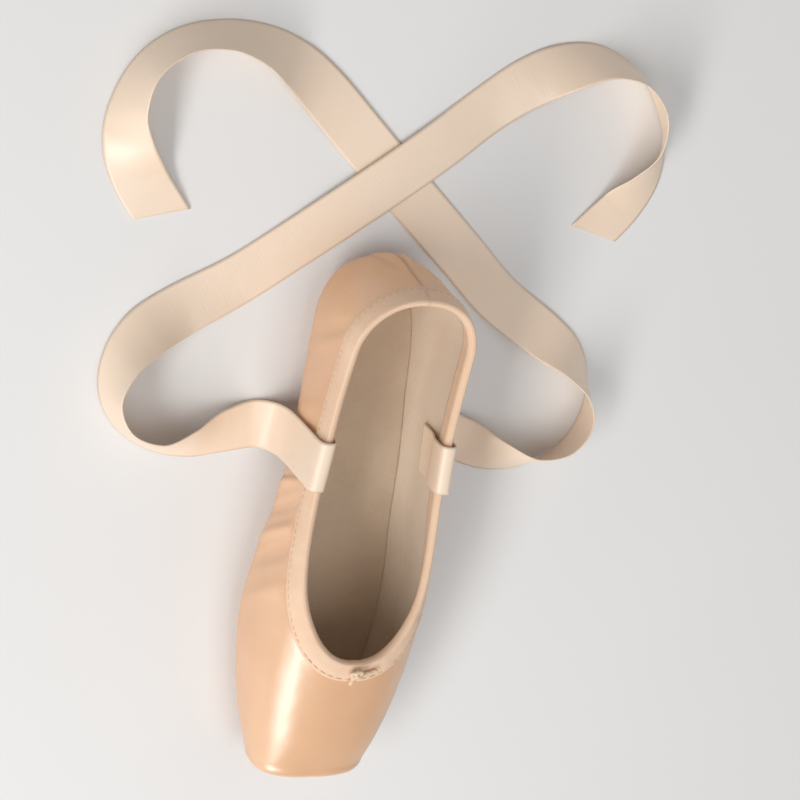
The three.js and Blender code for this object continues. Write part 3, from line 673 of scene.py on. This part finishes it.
# Places from the heel's back to the toe platform's middle: y, and the share of full size. The rows
# are closest where the section changes fastest.
def upperRows(fine):
    def count(part):
        return max(int(upperGrid[part] * fine), 4)

    backTurn = math.asin((collar["back"] - sectionHeel) / heel["arc"])
    front = collar["throat"] + collar["roundedOver"]
    quarter = np.linspace(0, np.pi / 2, count("fillet"))
    ys = [
        sectionHeel + heel["arc"] * np.sin(np.linspace(np.pi / 2, backTurn, count("heel"), endpoint=False)),
        collar["back"] + (sectionHeel - collar["back"]) * eased(count("heelCurve")),
        np.linspace(sectionHeel, front, count("sides"), endpoint=False),
        collar["throat"] + collar["roundedOver"] * eased(count("throat"))[::-1],
        np.linspace(collar["throat"], sectionToe, count("vamp"), endpoint=False)[1:],
        sectionToe - toe["fillet"] * np.sin(quarter),
    ]
    y = np.concatenate(ys)
    shrink = np.linspace(1, 0, count("platform"))[1:]
    return np.concatenate([y, np.full(len(shrink), toe["y"])]), np.concatenate([np.ones(len(y)), shrink])


# A skin of the last as a grid of points evenly spaced round each section, each point's run from the
# underside's middle, and its outward direction. Where the opening begins, only the columns beside
# the edge give way to it, and the rest keep their places from row to row.
def skinGrid(y, shrink, halfColumns, inset):
    steps, lidSteps = upperGrid["sectionSteps"], upperGrid["lidSteps"]
    free = collarAngle(y)
    angle = np.pi - np.linspace(0, 1, steps)[None] * (np.pi - free[:, None])
    line = lastPoint(y[:, None], angle, inset[:, None])
    middle = (line[:, :1] + lastPoint(y, np.zeros(len(y)), inset)[:, None]) / 2
    line = middle + (line - middle) * np.stack([shrink, np.ones(len(y)), shrink], -1)[:, None]
    run = runAlong(line)
    lid = lastPoint(y[:, None], free[:, None] * np.linspace(1, 0, lidSteps), inset[:, None])
    opened = runAlong(lid)[:, -1:] * (free > 0)[:, None]
    full = run[:, -1:] + opened
    shares = np.linspace(0, 1, halfColumns + 1)[None]
    near = np.clip(1 - full * (1 - shares) / (giving["length"] + giving["growth"] * opened), 0, 1) ** 2
    even = fade(opened, giving["shareFrom"], giving["shareTo"])
    runs = shares * full - opened * (near + (shares - near) * even)
    half = np.zeros((len(y), halfColumns + 1, 3))
    halfAngle = np.zeros((len(y), halfColumns + 1))
    for i in range(len(y)):
        halfAngle[i] = np.interp(runs[i], run[i], angle[i])
        for k in range(3):
            half[i, :, k] = np.interp(runs[i], run[i], line[i, :, k]) if run[i, -1] > 1e-7 else line[i, 0, k]
    normals = lastNormals(y[:, None], halfAngle, inset[:, None])
    normals[shrink < 1] = (0, -1, 0)
    normals[y > heel["y"] - 1e-6] = (0, 1, 0)
    mirror = np.array((-1, 1, 1))
    return (
        np.concatenate([half[:, ::-1] * mirror, half[:, 1:]], axis=1),
        np.concatenate([-runs[:, ::-1], runs[:, 1:]], axis=1),
        np.concatenate([normals[:, ::-1] * mirror, normals[:, 1:]], axis=1),
    )


# Roughly how far a place in plan is outside an outsole's outline.
def eggDistance(x, y, outline):
    v = (y - outline["middle"]) / outline["half"]
    reach = np.maximum(np.hypot(x / outline["halfWidth"], v), 1e-6)
    widened = outline["halfWidth"] * (1 - outline["skew"] * v / reach)
    return (np.hypot(x / widened, v) - 1) * (outline["halfWidth"] + outline["half"]) / 2


# Pleats under the toe: direction in degrees from the toe's middle, half width, height.
pleats = [
    (-62, 0.0015, 0.0007),
    (-51, 0.0019, 0.00095),
    (-42, 0.0015, 0.0008),
    (-33, 0.0018, 0.0009),
    (-13, 0.0015, 0.0007),
    (-5, 0.0018, 0.0009),
    (4, 0.0016, 0.00075),
    (13, 0.0020, 0.00095),
    (23, 0.0015, 0.0007),
    (41, 0.0018, 0.00085),
    (54, 0.0016, 0.0008),
]
# Their lines and profile: how far the toe's end draws in and shifts, and the valleys beside each.
pleatShape = {
    "drawIn": 0.86, "shift": 0.006, "fromEdge": 0.001, "turnBack": 0.012, "leastHeight": 0.3,
    "leastWidth": 0.55, "crown": 1.5, "valley": 0.9, "valleyAt": 1.7, "valleyWidth": 0.45,
}
# Worn folds at the arch, heel and toe: y and the run from the underside's middle at each end,
# side, depth, width.
creases = [
    (-0.024, 0.041, 0.004, 0.074, -1, -0.0018, 0.0032),
    (-0.013, 0.036, 0.013, 0.072, -1, 0.0018, 0.0028),
    (-0.002, 0.032, 0.022, 0.066, -1, -0.0015, 0.0028),
    (0.010, 0.030, 0.034, 0.060, -1, 0.0013, 0.0030),
    (-0.040, 0.046, -0.014, 0.080, -1, 0.0012, 0.0045),
    (0.026, 0.034, 0.048, 0.054, -1, -0.0007, 0.0034),
    (-0.020, 0.039, 0.006, 0.074, 1, -0.0017, 0.0032),
    (-0.008, 0.034, 0.018, 0.071, 1, 0.0018, 0.0028),
    (0.004, 0.030, 0.028, 0.062, 1, -0.0013, 0.0028),
    (-0.034, 0.045, -0.008, 0.078, 1, 0.0011, 0.0045),
    (0.022, 0.032, 0.042, 0.056, 1, 0.0007, 0.0034),
    (0.086, 0.046, 0.100, 0.072, -1, -0.0009, 0.0038),
    (0.080, 0.042, 0.092, 0.068, -1, 0.0006, 0.0034),
    (0.082, 0.044, 0.098, 0.072, 1, -0.0009, 0.0038),
    (-0.108, 0.040, -0.084, 0.060, -1, 0.0004, 0.0050),
    (-0.104, 0.041, -0.078, 0.062, 1, 0.0004, 0.0050),
    (-0.062, 0.066, -0.050, 0.088, 1, -0.0003, 0.0050),
]
# Folds of the underside's waist: x and y at each end, height, width.
waistFolds = [
    (0.0030, 0.020, 0.0225, 0.080, 0.0017, 0.0021),
    (0.0020, 0.010, 0.0300, 0.034, 0.0013, 0.0020),
    (0.0035, 0.004, 0.0240, -0.030, 0.0015, 0.0030),
    (0.0070, 0.014, 0.0200, 0.020, -0.0008, 0.0022),
    (-0.0035, 0.004, -0.0230, -0.028, 0.0014, 0.0030),
    (-0.0030, 0.018, -0.0190, 0.056, 0.0015, 0.0034),
    (-0.0030, 0.012, -0.0300, 0.018, 0.0010, 0.0030),
    (-0.0080, 0.024, -0.0240, 0.036, -0.0007, 0.0028),
]
# The satin's own unevenness: height, scale, seed, and squeeze along the foot, which makes long waves.
satinWaves = [(0.00018, 0.030, 3, 1), (0.00007, 0.010, 4, 1), (0.00016, 0.015, 7, 0.22)]
deepest = 0.0010  # the most that a fold goes into the wall
seams = {"waistY": 0.004, "slope": 0.40, "width": 0.0009, "depth": 0.0007}
seams.update({"waistFrom": -0.013, "waistTo": 0.053})  # the one between the outsoles
seamSwell = {"height": 0.0003, "width": 0.0032}
seamGathers = {"count": 7, "pitch": 0.0045, "ahead": 0.004, "start": 0.003, "end": 0.032, "fan": 0.003}
seamGathers.update({"height": 0.0004, "width": 0.0013})
rolledRim = {"height": 0.0014, "fromEdge": 0.0019, "width": 0.0020, "gathers": 34, "swing": 0.22}
tuck = {"from": 0.0105, "to": 0.002, "top": 0.036, "height": 0.0007, "soft": 0.0010}
tuckValley = {"at": 0.0014, "share": 0.7, "width": 0.0009}
# Where each of these fades in: the place at which it starts, and the one at which it is whole.
fades = {
    "rimHeight": (0.013, 0.006),
    "pleatHeight": (0.020, 0.013),
    "pleatY": (-0.080, -0.088),
    "waistHeight": (0.015, 0.008),
    "gatherRun": (0.036, 0.024),
    "tuckY": (0.097, 0.103),
    "patchHeight": (0.016, 0.012),
    "patchEdge": (0.0010, 0.0001),
    "ribbonY": (0.0150, 0.0120),
    "ribbonHeight": (0.008, 0.014),
    "tape": (binding["width"] + 0.0003, binding["width"] + 0.0045),
    "platform": (0.3, 0.8),  # shares of its full size
}


# Distance of each point from the nearest place on the collar's edge.
def fromCollar(points):
    edge = loop["at"][::2]
    return np.stack([np.linalg.norm(row[:, None] - edge[None], axis=-1).min(1) for row in points])


# Distance from a segment, and the share of the way along it.
def alongSegment(px, py, ax, ay, bx, by):
    dx, dy = bx - ax, by - ay
    t = np.clip(((px - ax) * dx + (py - ay) * dy) / (dx * dx + dy * dy), 0, 1)
    return np.hypot(px - ax - t * dx, py - ay - t * dy), t


# Height of the satin's folds over the last, as a sum of bells across each fold's line that swell
# between its ends by a sine.
def foldRelief(x, y, z, runs):
    relief, low = np.zeros_like(x), fade(z, *fades["waistHeight"])
    for *ends, side, depth, width in creases:
        d, t = alongSegment(y, runs * side, *ends)
        relief += depth * bump(d, width) * np.sin(np.pi * (0.08 + 0.84 * t))
    for *ends, height, width in waistFolds:
        d, t = alongSegment(x, y, *ends)
        relief += low * height * bump(d, width) * np.sin(np.pi * (0.10 + 0.82 * t))
    return relief


# Height of the pleats, which fan out from the front patch's edge to the toe's and rise towards the
# patch: each is a bell with a narrow valley beside it.
def pleatRelief(x, y, z):
    relief, shape = np.zeros_like(x), pleatShape
    for degrees, width, height in pleats:
        turn = math.radians(degrees)
        startX, startY = eggEdge(outsoles["forefoot"], turn)
        endX = startX * shape["drawIn"] + shape["shift"] * math.sin(turn)
        endY = toe["y"] + shape["fromEdge"] + shape["turnBack"] * (1 - math.cos(turn))
        d, t = alongSegment(x, y, startX, startY, endX, endY)
        left = (shape["leastHeight"] + (1 - shape["leastHeight"]) * (1 - t * t)) * height
        narrow = width * (shape["leastWidth"] + (1 - shape["leastWidth"]) * (1 - t * t))
        valley = bump(d - shape["valleyAt"] * narrow, shape["valleyWidth"] * narrow)
        relief += left * (shape["crown"] * bump(d, narrow) - shape["valley"] * valley)
    return relief * fade(z, *fades["pleatHeight"]) * fade(y, *fades["pleatY"])


# Height of the satin over the last, and each place's share of a seam's groove, which is painted as
# shade: the sum of its waves, the rims rolled round the patches, pleats, folds, seams, the tuck behind
# the heel and the gathers.
def satinRelief(points, runs):
    x, y, z = points[..., 0], points[..., 1], points[..., 2]
    relief = np.zeros_like(x)
    for height, scale, seed, squeeze in satinWaves:
        relief += height * ripple(points * (1, squeeze, 1), scale, seed)
    beyondPatch = np.ones_like(x)
    for outline in outsoles.values():
        outside = eggDistance(x, y, outline)
        beyondPatch *= 1 - fade(z, *fades["patchHeight"]) * fade(outside, *fades["patchEdge"])
        turn = np.arctan2(x, y - outline["middle"])
        patchy = fade(np.abs(np.sin(turn * 1.5 + 0.4)), 0.2, 0.8)
        gather = 1 + rolledRim["swing"] * np.sin(turn * rolledRim["gathers"]) * patchy
        rim = bump(outside - rolledRim["fromEdge"], rolledRim["width"])
        relief += fade(z, *fades["rimHeight"]) * rolledRim["height"] * gather * rim
    relief += pleatRelief(x, y, z) + foldRelief(x, y, z, runs)
    away = np.ones_like(x)  # far from any seam
    sideLine = np.abs(y - seams["waistY"] - seams["slope"] * np.abs(runs)) / math.hypot(1, seams["slope"])
    sideLine = np.where(np.abs(y) < 0.06, sideLine, away)
    backLine = np.where((y > 0.100) & (z > 0.003), np.abs(x), away)
    between = (y > seams["waistFrom"]) & (y < seams["waistTo"]) & (z < 0.012)
    lines = np.minimum(np.minimum(sideLine, backLine), np.where(between, np.abs(x), away))
    # The bell across each seam line sinks the satin into a groove and marks that groove for painted shade.
    seamGrooveShade = bump(lines, seams["width"])
    relief += seamSwell["height"] * bump(lines, seamSwell["width"]) - seams["depth"] * seamGrooveShade
    halfTuck = tuck["from"] + (tuck["to"] - tuck["from"]) * np.clip(z / tuck["top"], 0, 1)
    outside = np.abs(x) - halfTuck
    atBack = fade(y, *fades["tuckY"]) * fade(z, tuck["top"] + 0.003, tuck["top"] - 0.010)
    valley = tuckValley["share"] * bump(outside - tuckValley["at"], tuckValley["width"])
    relief += atBack * tuck["height"] * (fade(outside, tuck["soft"], -tuck["soft"]) - valley)
    nearWaist = fade(np.abs(runs), *fades["gatherRun"])
    for k in range(seamGathers["count"]):  # small gathers that fan out of the waist seam
        order = k - seamGathers["count"] // 2
        startY = seams["waistY"] + seamGathers["ahead"] + seamGathers["pitch"] * order
        endY = startY + seamGathers["fan"] * order
        d, t = alongSegment(y, np.abs(runs), startY, seamGathers["start"], endY, seamGathers["end"])
        relief += nearWaist * seamGathers["height"] * (1 - t) * bump(d, seamGathers["width"])
    underRibbon = fade(np.abs(y - ribbonHang[0][1]), *fades["ribbonY"]) * fade(z, *fades["ribbonHeight"])
    relief += underRibbon * (np.minimum(relief, 0.0002) - relief)
    return relief * beyondPatch, seamGrooveShade


# Outer satin and lining, joined along the collar's edge. A fold's depth is limited by a hyperbolic
# tangent, so that the wall stays thick enough.
def makeUpper():
    fine = 1.0
    y, shrink = upperRows(fine)
    outer, runs, normals = skinGrid(y, shrink, int(upperGrid["outerHalf"] * fine), np.zeros(len(y)))
    inner, innerRuns, _ = skinGrid(y, shrink, int(upperGrid["innerHalf"] * fine), wallAt(y))
    relief, seamGrooveShade = satinRelief(outer, runs)
    start, whole = fades["platform"]
    shown = np.clip((shrink - start) / (whole - start), 0, 1)[:, None]
    shown = shown * fade(fromCollar(outer), *fades["tape"])
    relief = np.where(relief < 0, -deepest * np.tanh(-relief / deepest), relief)
    outer = outer + normals * (relief * shown)[..., None]
    outer[..., 2] = np.maximum(outer[..., 2], 0.0002)  # pressed flat where it meets the floor
    innerStart = outer.shape[0] * outer.shape[1]
    points = np.concatenate([outer.reshape(-1, 3), inner.reshape(-1, 3)])
    rows, lastOuter, lastInner = len(y), outer.shape[1] - 1, inner.shape[1] - 1
    outerFaces = gridQuads(rows, lastOuter + 1)
    innerFaces = gridQuads(rows, lastInner + 1, start=innerStart, flip=True)
    shut = collarAngle(y) == 0
    rim = []
    for outerColumn, innerColumn, flip in ((0, 0, True), (lastOuter, lastInner, False)):
        a = np.arange(rows) * (lastOuter + 1) + outerColumn
        b = np.arange(rows) * (lastInner + 1) + innerColumn + innerStart
        quads = np.stack([a[:-1], b[:-1], b[1:], a[1:]], 1)[~(shut[:-1] & shut[1:])]
        rim.append(quads[:, ::-1] if flip else quads)
    faces = np.concatenate([outerFaces, innerFaces, *rim])
    kinds = np.repeat([0, 1, 0], [len(outerFaces), len(innerFaces), sum(map(len, rim))])
    # The outer surface's third part is the painted shade of the seams' grooves.
    outerSurface = np.stack([outer[..., 1], np.abs(runs), seamGrooveShade * shown], -1).reshape(-1, 3)
    innerSurface = np.stack([inner[..., 1], np.abs(innerRuns), 0 * innerRuns], -1).reshape(-1, 3)
    surface = np.concatenate([outerSurface, innerSurface])
    cloths = [satin, cotton["lining_cotton"]]
    makePiece("upper_satin", points, faces, cloths, ["upper"], kinds, surface, weldWithin)


makeUpper()
print("upper made")


# Tape folded over the edge: flat legs, a round fold, and small gathers where the drawstring pulls
# it at the throat. Its profile is carried along the collar's edge, out and back along the wall.
def makeBinding():
    atThroat = bump(loop["y"] - collar["throat"], binding["pull"])
    gather = 0 * atThroat
    for height, more, scale, seed in binding["gathers"]:
        gather += (height + more * atThroat) * ripple(loop["at"], scale, seed)
    near, far = gap * 0.4, gap + binding["tape"]
    profile = []
    for distance, lift in tapeProfile:
        swell = binding["puff"] * max(0, lift - 0.9) * 3
        free = gather * min(1, 4 * (1 - distance) + 0.15)
        off = near + (far - near) * min(lift, 1) + swell + free
        profile.append(onWall(binding["width"] * distance, off))
    outer, inner = onWall(0.0, far + gather * 0.7), onWall(0.0, far, True)
    middle, reach = (outer + inner) / 2, (outer - inner) / 2
    for turn in np.radians((0, 22, 45, 68, 90, 112, 135, 158, 180)):
        over = loop["down"] * (far + binding["foldReach"]) * math.sin(turn)
        profile.append(middle + reach * math.cos(turn) - over)
    for distance, off in zip((0.2, 0.5, 0.8, 0.97, 1, 1, 0.5), (far, far, far, far, far * 0.6, near, near)):
        profile.append(onWall(binding["inside"] * distance, off, True))
    profile += [onWall(-gap, near, True), onWall(-gap, near), onWall(binding["width"] * 0.5, near)]
    ring = np.stack(profile, 1)
    faces = gridQuads(*ring.shape[:2], wrapRows=True, wrapColumns=True)
    across = runAlong(ring)
    surface = np.stack(np.broadcast_arrays(loop["run"][:, None], across, 0 * across), -1)
    cloths = [cotton["binding_tape"]]
    makePiece("binding_tape", ring, faces, cloths, ["collar_binding"], surface=surface)


stitch = {
    "at": 0.83,  # share of the tape's width
    "sunk": 0.95,
    "pitch": 0.0030,
    "length": 0.0021,
    "radius": 0.00022,
    "arch": 0.00012,
    "dip": 0.0001,
    "around": 6,
    "along": 5,
}


# Rings round lines: the cosine and sine of the turn times the radius, sideways and upwards.
def ringsRound(centre, side, up, radius, around):
    turns = np.linspace(0, 2 * np.pi, around, endpoint=False)[:, None]
    circle = np.cos(turns) * side[..., None, :] + np.sin(turns) * up[..., None, :]
    return centre[..., None, :] + radius[..., None] * circle


# A row of short stitches near the tape's lower edge, each a small rounded bar that rises by a sine
# and dips at both ends.
def makeBindingStitches():
    around, along = stitch["around"], stitch["along"]
    line = onWall(binding["width"] * stitch["at"], gap + binding["tape"] * stitch["sunk"])
    total = loop["run"][-1] + np.linalg.norm(loop["at"][0] - loop["at"][-1])
    runs = np.append(loop["run"], total)
    count = int(total / stitch["pitch"])
    places = np.arange(count)[:, None] * stitch["pitch"] + np.linspace(0, stitch["length"], along)

    def atPlaces(v):
        closed = np.vstack([v, v[:1]])
        return np.stack([np.interp(places, runs, closed[:, axis]) for axis in range(3)], -1)

    centre, up = atPlaces(line), atPlaces(loop["out"])
    side = np.cross(unit(np.gradient(centre, axis=1)), up)
    arch = np.sin(np.linspace(0, np.pi, along))[:, None]
    centre += up * (stitch["arch"] * arch - stitch["dip"])
    bars = ringsRound(centre, side, up, stitch["radius"] * (0.5 + 0.5 * arch), around)
    starts = np.arange(count)[:, None, None] * around * along
    quads = starts + gridQuads(along, around, wrapColumns=True, flip=True)
    end = np.arange(around)
    caps = starts + np.stack([end, (along - 1) * around + end[::-1]])
    faces = quads.reshape(-1, 4).tolist() + caps.reshape(-1, around).tolist()
    makePiece("binding_stitches", bars, faces, [cotton["stitch_thread"]])


makeBinding()
makeBindingStitches()
print("binding made")

insole = {"front": -0.111, "back": 0.109, "clear": 0.8, "thickness": 0.0015, "rows": 120, "columns": 28}
insoleEdge = {"ends": (6, 0.4), "sides": (8, 0.5), "thinnest": 0.25}
insoleWave = {"height": 0.00012, "scale": 0.02, "seed": 21}


# A cotton-covered board that follows the inside of the underside. Its outline and its rolled edge
# are roots of one less a high power of the way out from the middle.
def makeInsole():
    front, back, columns = insole["front"], insole["back"], insole["columns"]
    y = (front + back) / 2 + (back - front) / 2 * np.cos(np.linspace(0, np.pi, insole["rows"]))
    inset = wallAt(y)
    out = np.clip(np.abs((2 * y - front - back) / (back - front)), 0, 1)
    power, root = insoleEdge["ends"]
    half = insole["clear"] * sectionAt(y, inset)["w"] * (1 - out**power) ** root
    shares = np.sin(np.linspace(-np.pi / 2, np.pi / 2, columns + 1))[None]
    x = half[:, None] * shares
    y = np.repeat(y[:, None], columns + 1, 1)
    low = heightAt("low", x, y, inset[:, None]) + gap
    power, root = insoleEdge["sides"]
    crown = (1 - np.abs(shares) ** power) ** root
    thinnest = insoleEdge["thinnest"]
    high = low + insole["thickness"] * (thinnest + (1 - thinnest) * crown)
    surface = np.stack([x, y, high], -1)
    high += insoleWave["height"] * ripple(surface, insoleWave["scale"], insoleWave["seed"])
    top, bottom = np.stack([x, y, high], -1), np.stack([x, y, low], -1)
    ring = np.concatenate([top, bottom[:, ::-1]], axis=1)
    faces = gridQuads(*ring.shape[:2], wrapColumns=True, flip=True)
    makePiece("insole_sock", ring, faces, [cotton["insole_cotton"]], ["insole"], weld=weldWithin)


makeInsole()
print("insole made")

patch = {
    "thickness": 0.0016,
    "pressed": 0.0005,  # how far the floor presses its underside flat
    "rounding": 0.0005,
    "roundedOver": 0.0007,
    "notches": 90,
    "notch": 0.00040,
    "channel": 0.00030,
    "channelAt": 0.0022,
    "groove": 0.00034,
    "groovePitch": 0.0027,
}
# The scoring's bends: bells across it, as place, width and height, and the heights of its waves.
scoring = {"fine": 0.0006, "broad": 0.0010, "along": 0.0006}
scoring["bells"] = ((0.003, 0.0095, 0.0042), (-0.012, 0.006, -0.0022))


# A leather patch of spokes and rings. Its underside is scored by a cosine along the foot over one
# half, with a channel and fine notches round it, which are bells of the distance from its edge.
def makeOutsole(name, outline, scoredSide, cadNode):
    spokes, rings = ((540, 56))
    turn = np.linspace(0, 2 * np.pi, spokes, endpoint=False)
    middle = outline["middle"]
    edgeX, edgeY = eggEdge(outline, turn)
    edgeY = edgeY - middle
    share = 1 - (1 - np.linspace(0, 1, rings)) ** 1.15
    x, y = share[:, None] * edgeX[None], middle + share[:, None] * edgeY[None]
    satinUnder = heightAt("low", x, y) - gap
    fromEdge = (1 - share)[:, None] * np.hypot(edgeX, edgeY)[None]
    cuts = (0.5 + 0.5 * np.cos(turn * patch["notches"])) ** 2
    notch = patch["notch"] * cuts[None] * bump(fromEdge - 0.0004, 0.0007)
    channel = patch["channel"] * bump(fromEdge - patch["channelAt"], 0.00045)
    scored = fade((y - middle) * scoredSide, -0.002, 0.006) * fade(fromEdge, 0.0036, 0.0056)
    arch = sum(height * bump(x - at, width) for at, width, height in scoring["bells"])
    bend = arch * scoredSide + scoring["fine"] * np.sin(x / 0.0021 + y / 0.004)
    bend += scoring["broad"] * np.sin(x / 0.0052 + 1.0) + scoring["along"] * np.sin(y / 0.0045)
    phase = (y + bend) / patch["groovePitch"]
    groove = scored * np.clip(np.cos(2 * np.pi * phase) - 0.3, 0, 1) / 0.7
    rounded = patch["rounding"] * (1 - np.clip(fromEdge / patch["roundedOver"], 0, 1)) ** 2
    base = np.maximum(0, satinUnder - patch["thickness"] - patch["pressed"])
    height = base + notch + channel + patch["groove"] * groove + rounded
    under = np.stack([x, y, np.minimum(height, satinUnder - 0.0004)], -1)
    topRings = np.array([1.0, 0.5, 0.0])[:, None]
    topX, topY = topRings * edgeX[None], middle + topRings * edgeY[None]
    top = np.stack([topX, topY, heightAt("low", topX, topY) - gap], -1)
    grid = np.concatenate([under, top])
    # Tone: dark towards the cut edge, which is the leather's own edge colour, darker still in the notches,
    # plus painted shade along the channel and in the scored grooves.
    cutEdgeAndGrooveShade = bump(fromEdge, 0.0009) * (0.6 + 0.4 * cuts)
    cutEdgeAndGrooveShade = cutEdgeAndGrooveShade + 0.35 * bump(fromEdge - patch["channelAt"], 0.0006) + 0.45 * groove
    tone = np.concatenate([np.clip(cutEdgeAndGrooveShade, 0, 1), np.ones(topX.shape)])
    surface = np.stack([grid[..., 0], grid[..., 1], tone], -1)
    faces = gridQuads(len(grid), spokes, wrapColumns=True)
    makePiece(name, grid, faces, [soleLeather], [cadNode], surface=surface, weld=weldWithin)


makeOutsole("forefoot_leather", outsoles["forefoot"], -1, "outsole_forefoot")
makeOutsole("heel_leather", outsoles["heel"], 1, "outsole_heel")
print("outsoles made")

# The drawstring's knot: two ends of cord wound round each other, each place as x, y and rise off
# the tape.
cord = {"radius": 0.0009, "strands": 3, "pitch": 0.0028, "ridge": 0.10, "around": 14, "perSpan": 12}
knotRoutes = (
    (
        (-0.0012, -0.0612, 0), (-0.0010, -0.0590, 0), (-0.0002, -0.0565, 0.0002), (0.0016, -0.0548, 0.0010),
        (0.0014, -0.0533, 0.0018), (-0.0008, -0.0534, 0.0018), (-0.0022, -0.0548, 0.0009),
        (-0.0014, -0.0562, 0.0004), (0.0004, -0.0560, 0.0020),
    ),
    (
        (0.0100, -0.0536, 0), (0.0075, -0.0546, 0), (0.0045, -0.0554, 0.0001), (0.0022, -0.0560, 0.0007),
        (0.0006, -0.0556, 0.0016), (-0.0006, -0.0545, 0.0016), (0.0004, -0.0530, 0.0006),
        (0.0020, -0.0536, 0.0002),
    ),
)


# A laid cord: a tube whose strands show as ridges that wind round it, a cosine of the turn and the
# run, with rounded ends.
def cordTube(points):
    radius, around = cord["radius"], cord["around"]
    line = throughPoints(np.array(points), cord["perSpan"])
    tangent = unit(np.gradient(line, axis=0))
    side = unit(np.cross(tangent, (0.21, 0.13, 0.97)))  # any way that the cord never takes
    up = np.cross(side, tangent)
    run = runAlong(line)
    turns = np.linspace(0, 2 * np.pi, around, endpoint=False)
    fromEnd = np.minimum(run, run[-1] - run)
    taper = np.sqrt(np.clip(1 - (1 - np.clip(fromEnd / radius, 0, 1)) ** 2, 0.0, 1))
    wound = cord["strands"] * turns[None] + 2 * np.pi * run[:, None] / cord["pitch"]
    thick = radius * taper[:, None] * (1 + cord["ridge"] * np.cos(wound))
    ring = ringsRound(line, side, up, thick, around)
    return ring, gridQuads(len(line), around, wrapColumns=True, flip=True)


# The two routes as tubes, laid over the vamp by the tape's thickness.
def makeKnot():
    clear = gap + binding["tape"] + binding["puff"] + gap + cord["radius"]
    points, faces, start = [], [], 0
    for route in knotRoutes:
        x, y, rise = np.array(route).T
        ring, quads = cordTube(np.column_stack([x, y, heightAt("top", x, y) + clear + rise]))
        points.append(ring.reshape(-1, 3))
        faces.append(quads + start)
        start += len(points[-1])
    points, faces, cloths = np.concatenate(points), np.concatenate(faces), [cotton["drawstring_cotton"]]
    nodes, weld = ["drawstring_knot"], weldWithin / 2
    makePiece("drawstring_cord", points, faces, cloths, nodes, weld=weld)


makeKnot()
print("knot made")

studio = {
    "floor": ((0.78, 0.78, 0.785), (0.83, 0.83, 0.83)),
    "floorRoughness": 0.75,
    "floorHalf": 6.0,
    "drop": 0.0001,
    "world": (0.94, 0.93, 0.92, 1),
    "worldStrength": 0.36,
    "target": (0, 0, 0.03),
    "lamps": (  # name, place, size along and across, power, tint
        ("long_key", (-0.95, -0.68, 0.88), (2.1, 0.36), 18.5, (1.0, 0.985, 0.965)),
        ("top", (0.15, -0.30, 1.45), (1.2, 0.7), 5.0, (1.0, 0.99, 0.975)),
        ("fill", (1.1, 0.5, 0.8), (1.2, 1.2), 1.5, (0.97, 0.98, 1.0)),
    ),
}


# A pale floor far wider than the view, and three soft lights: a long key from the sole's side, a fill
# and a top light.
def makeStage():
    material, tree, shader = newMaterial("studio_floor", studio["floor"][0], studio["floorRoughness"], {})
    grain = noise(tree, node(tree, "ShaderNodeTexCoord"), "Object", 4.0, 2.0)
    join(tree, mixColors(tree, grain, 0, *studio["floor"]), 2, shader, "Base Color")
    half, low = studio["floorHalf"], -studio["drop"]
    mesh = bpy.data.meshes.new("floor")
    corners = [(-half, -half, low), (half, -half, low), (half, half, low), (-half, half, low)]
    mesh.from_pydata(corners, [], [(0, 1, 2, 3)])
    mesh.materials.append(material)
    floor = addObject("floor", mesh)
    for name, place, size, power, tint in studio["lamps"]:
        data = bpy.data.lights.new(name, "AREA")
        data.shape, data.size, data.size_y = "RECTANGLE", *size
        data.energy, data.color = power, tint
        away = (Vector(place) - Vector(studio["target"])).normalized()
        across = Vector((0, 1, 0)).cross(away).normalized()
        lamp = addObject(name, data)
        lamp.matrix_world = Matrix((away.cross(across) * -1, across, away)).transposed().to_4x4()
        lamp.location = place
    world = bpy.data.worlds.new("studio")
    world.use_nodes = True
    world.node_tree.nodes["Background"].inputs["Color"].default_value = studio["world"]
    world.node_tree.nodes["Background"].inputs["Strength"].default_value = studio["worldStrength"]
    bpy.context.scene.world = world
    bpy.context.scene.view_settings.view_transform = "Standard"


makeStage()
print("stage made")
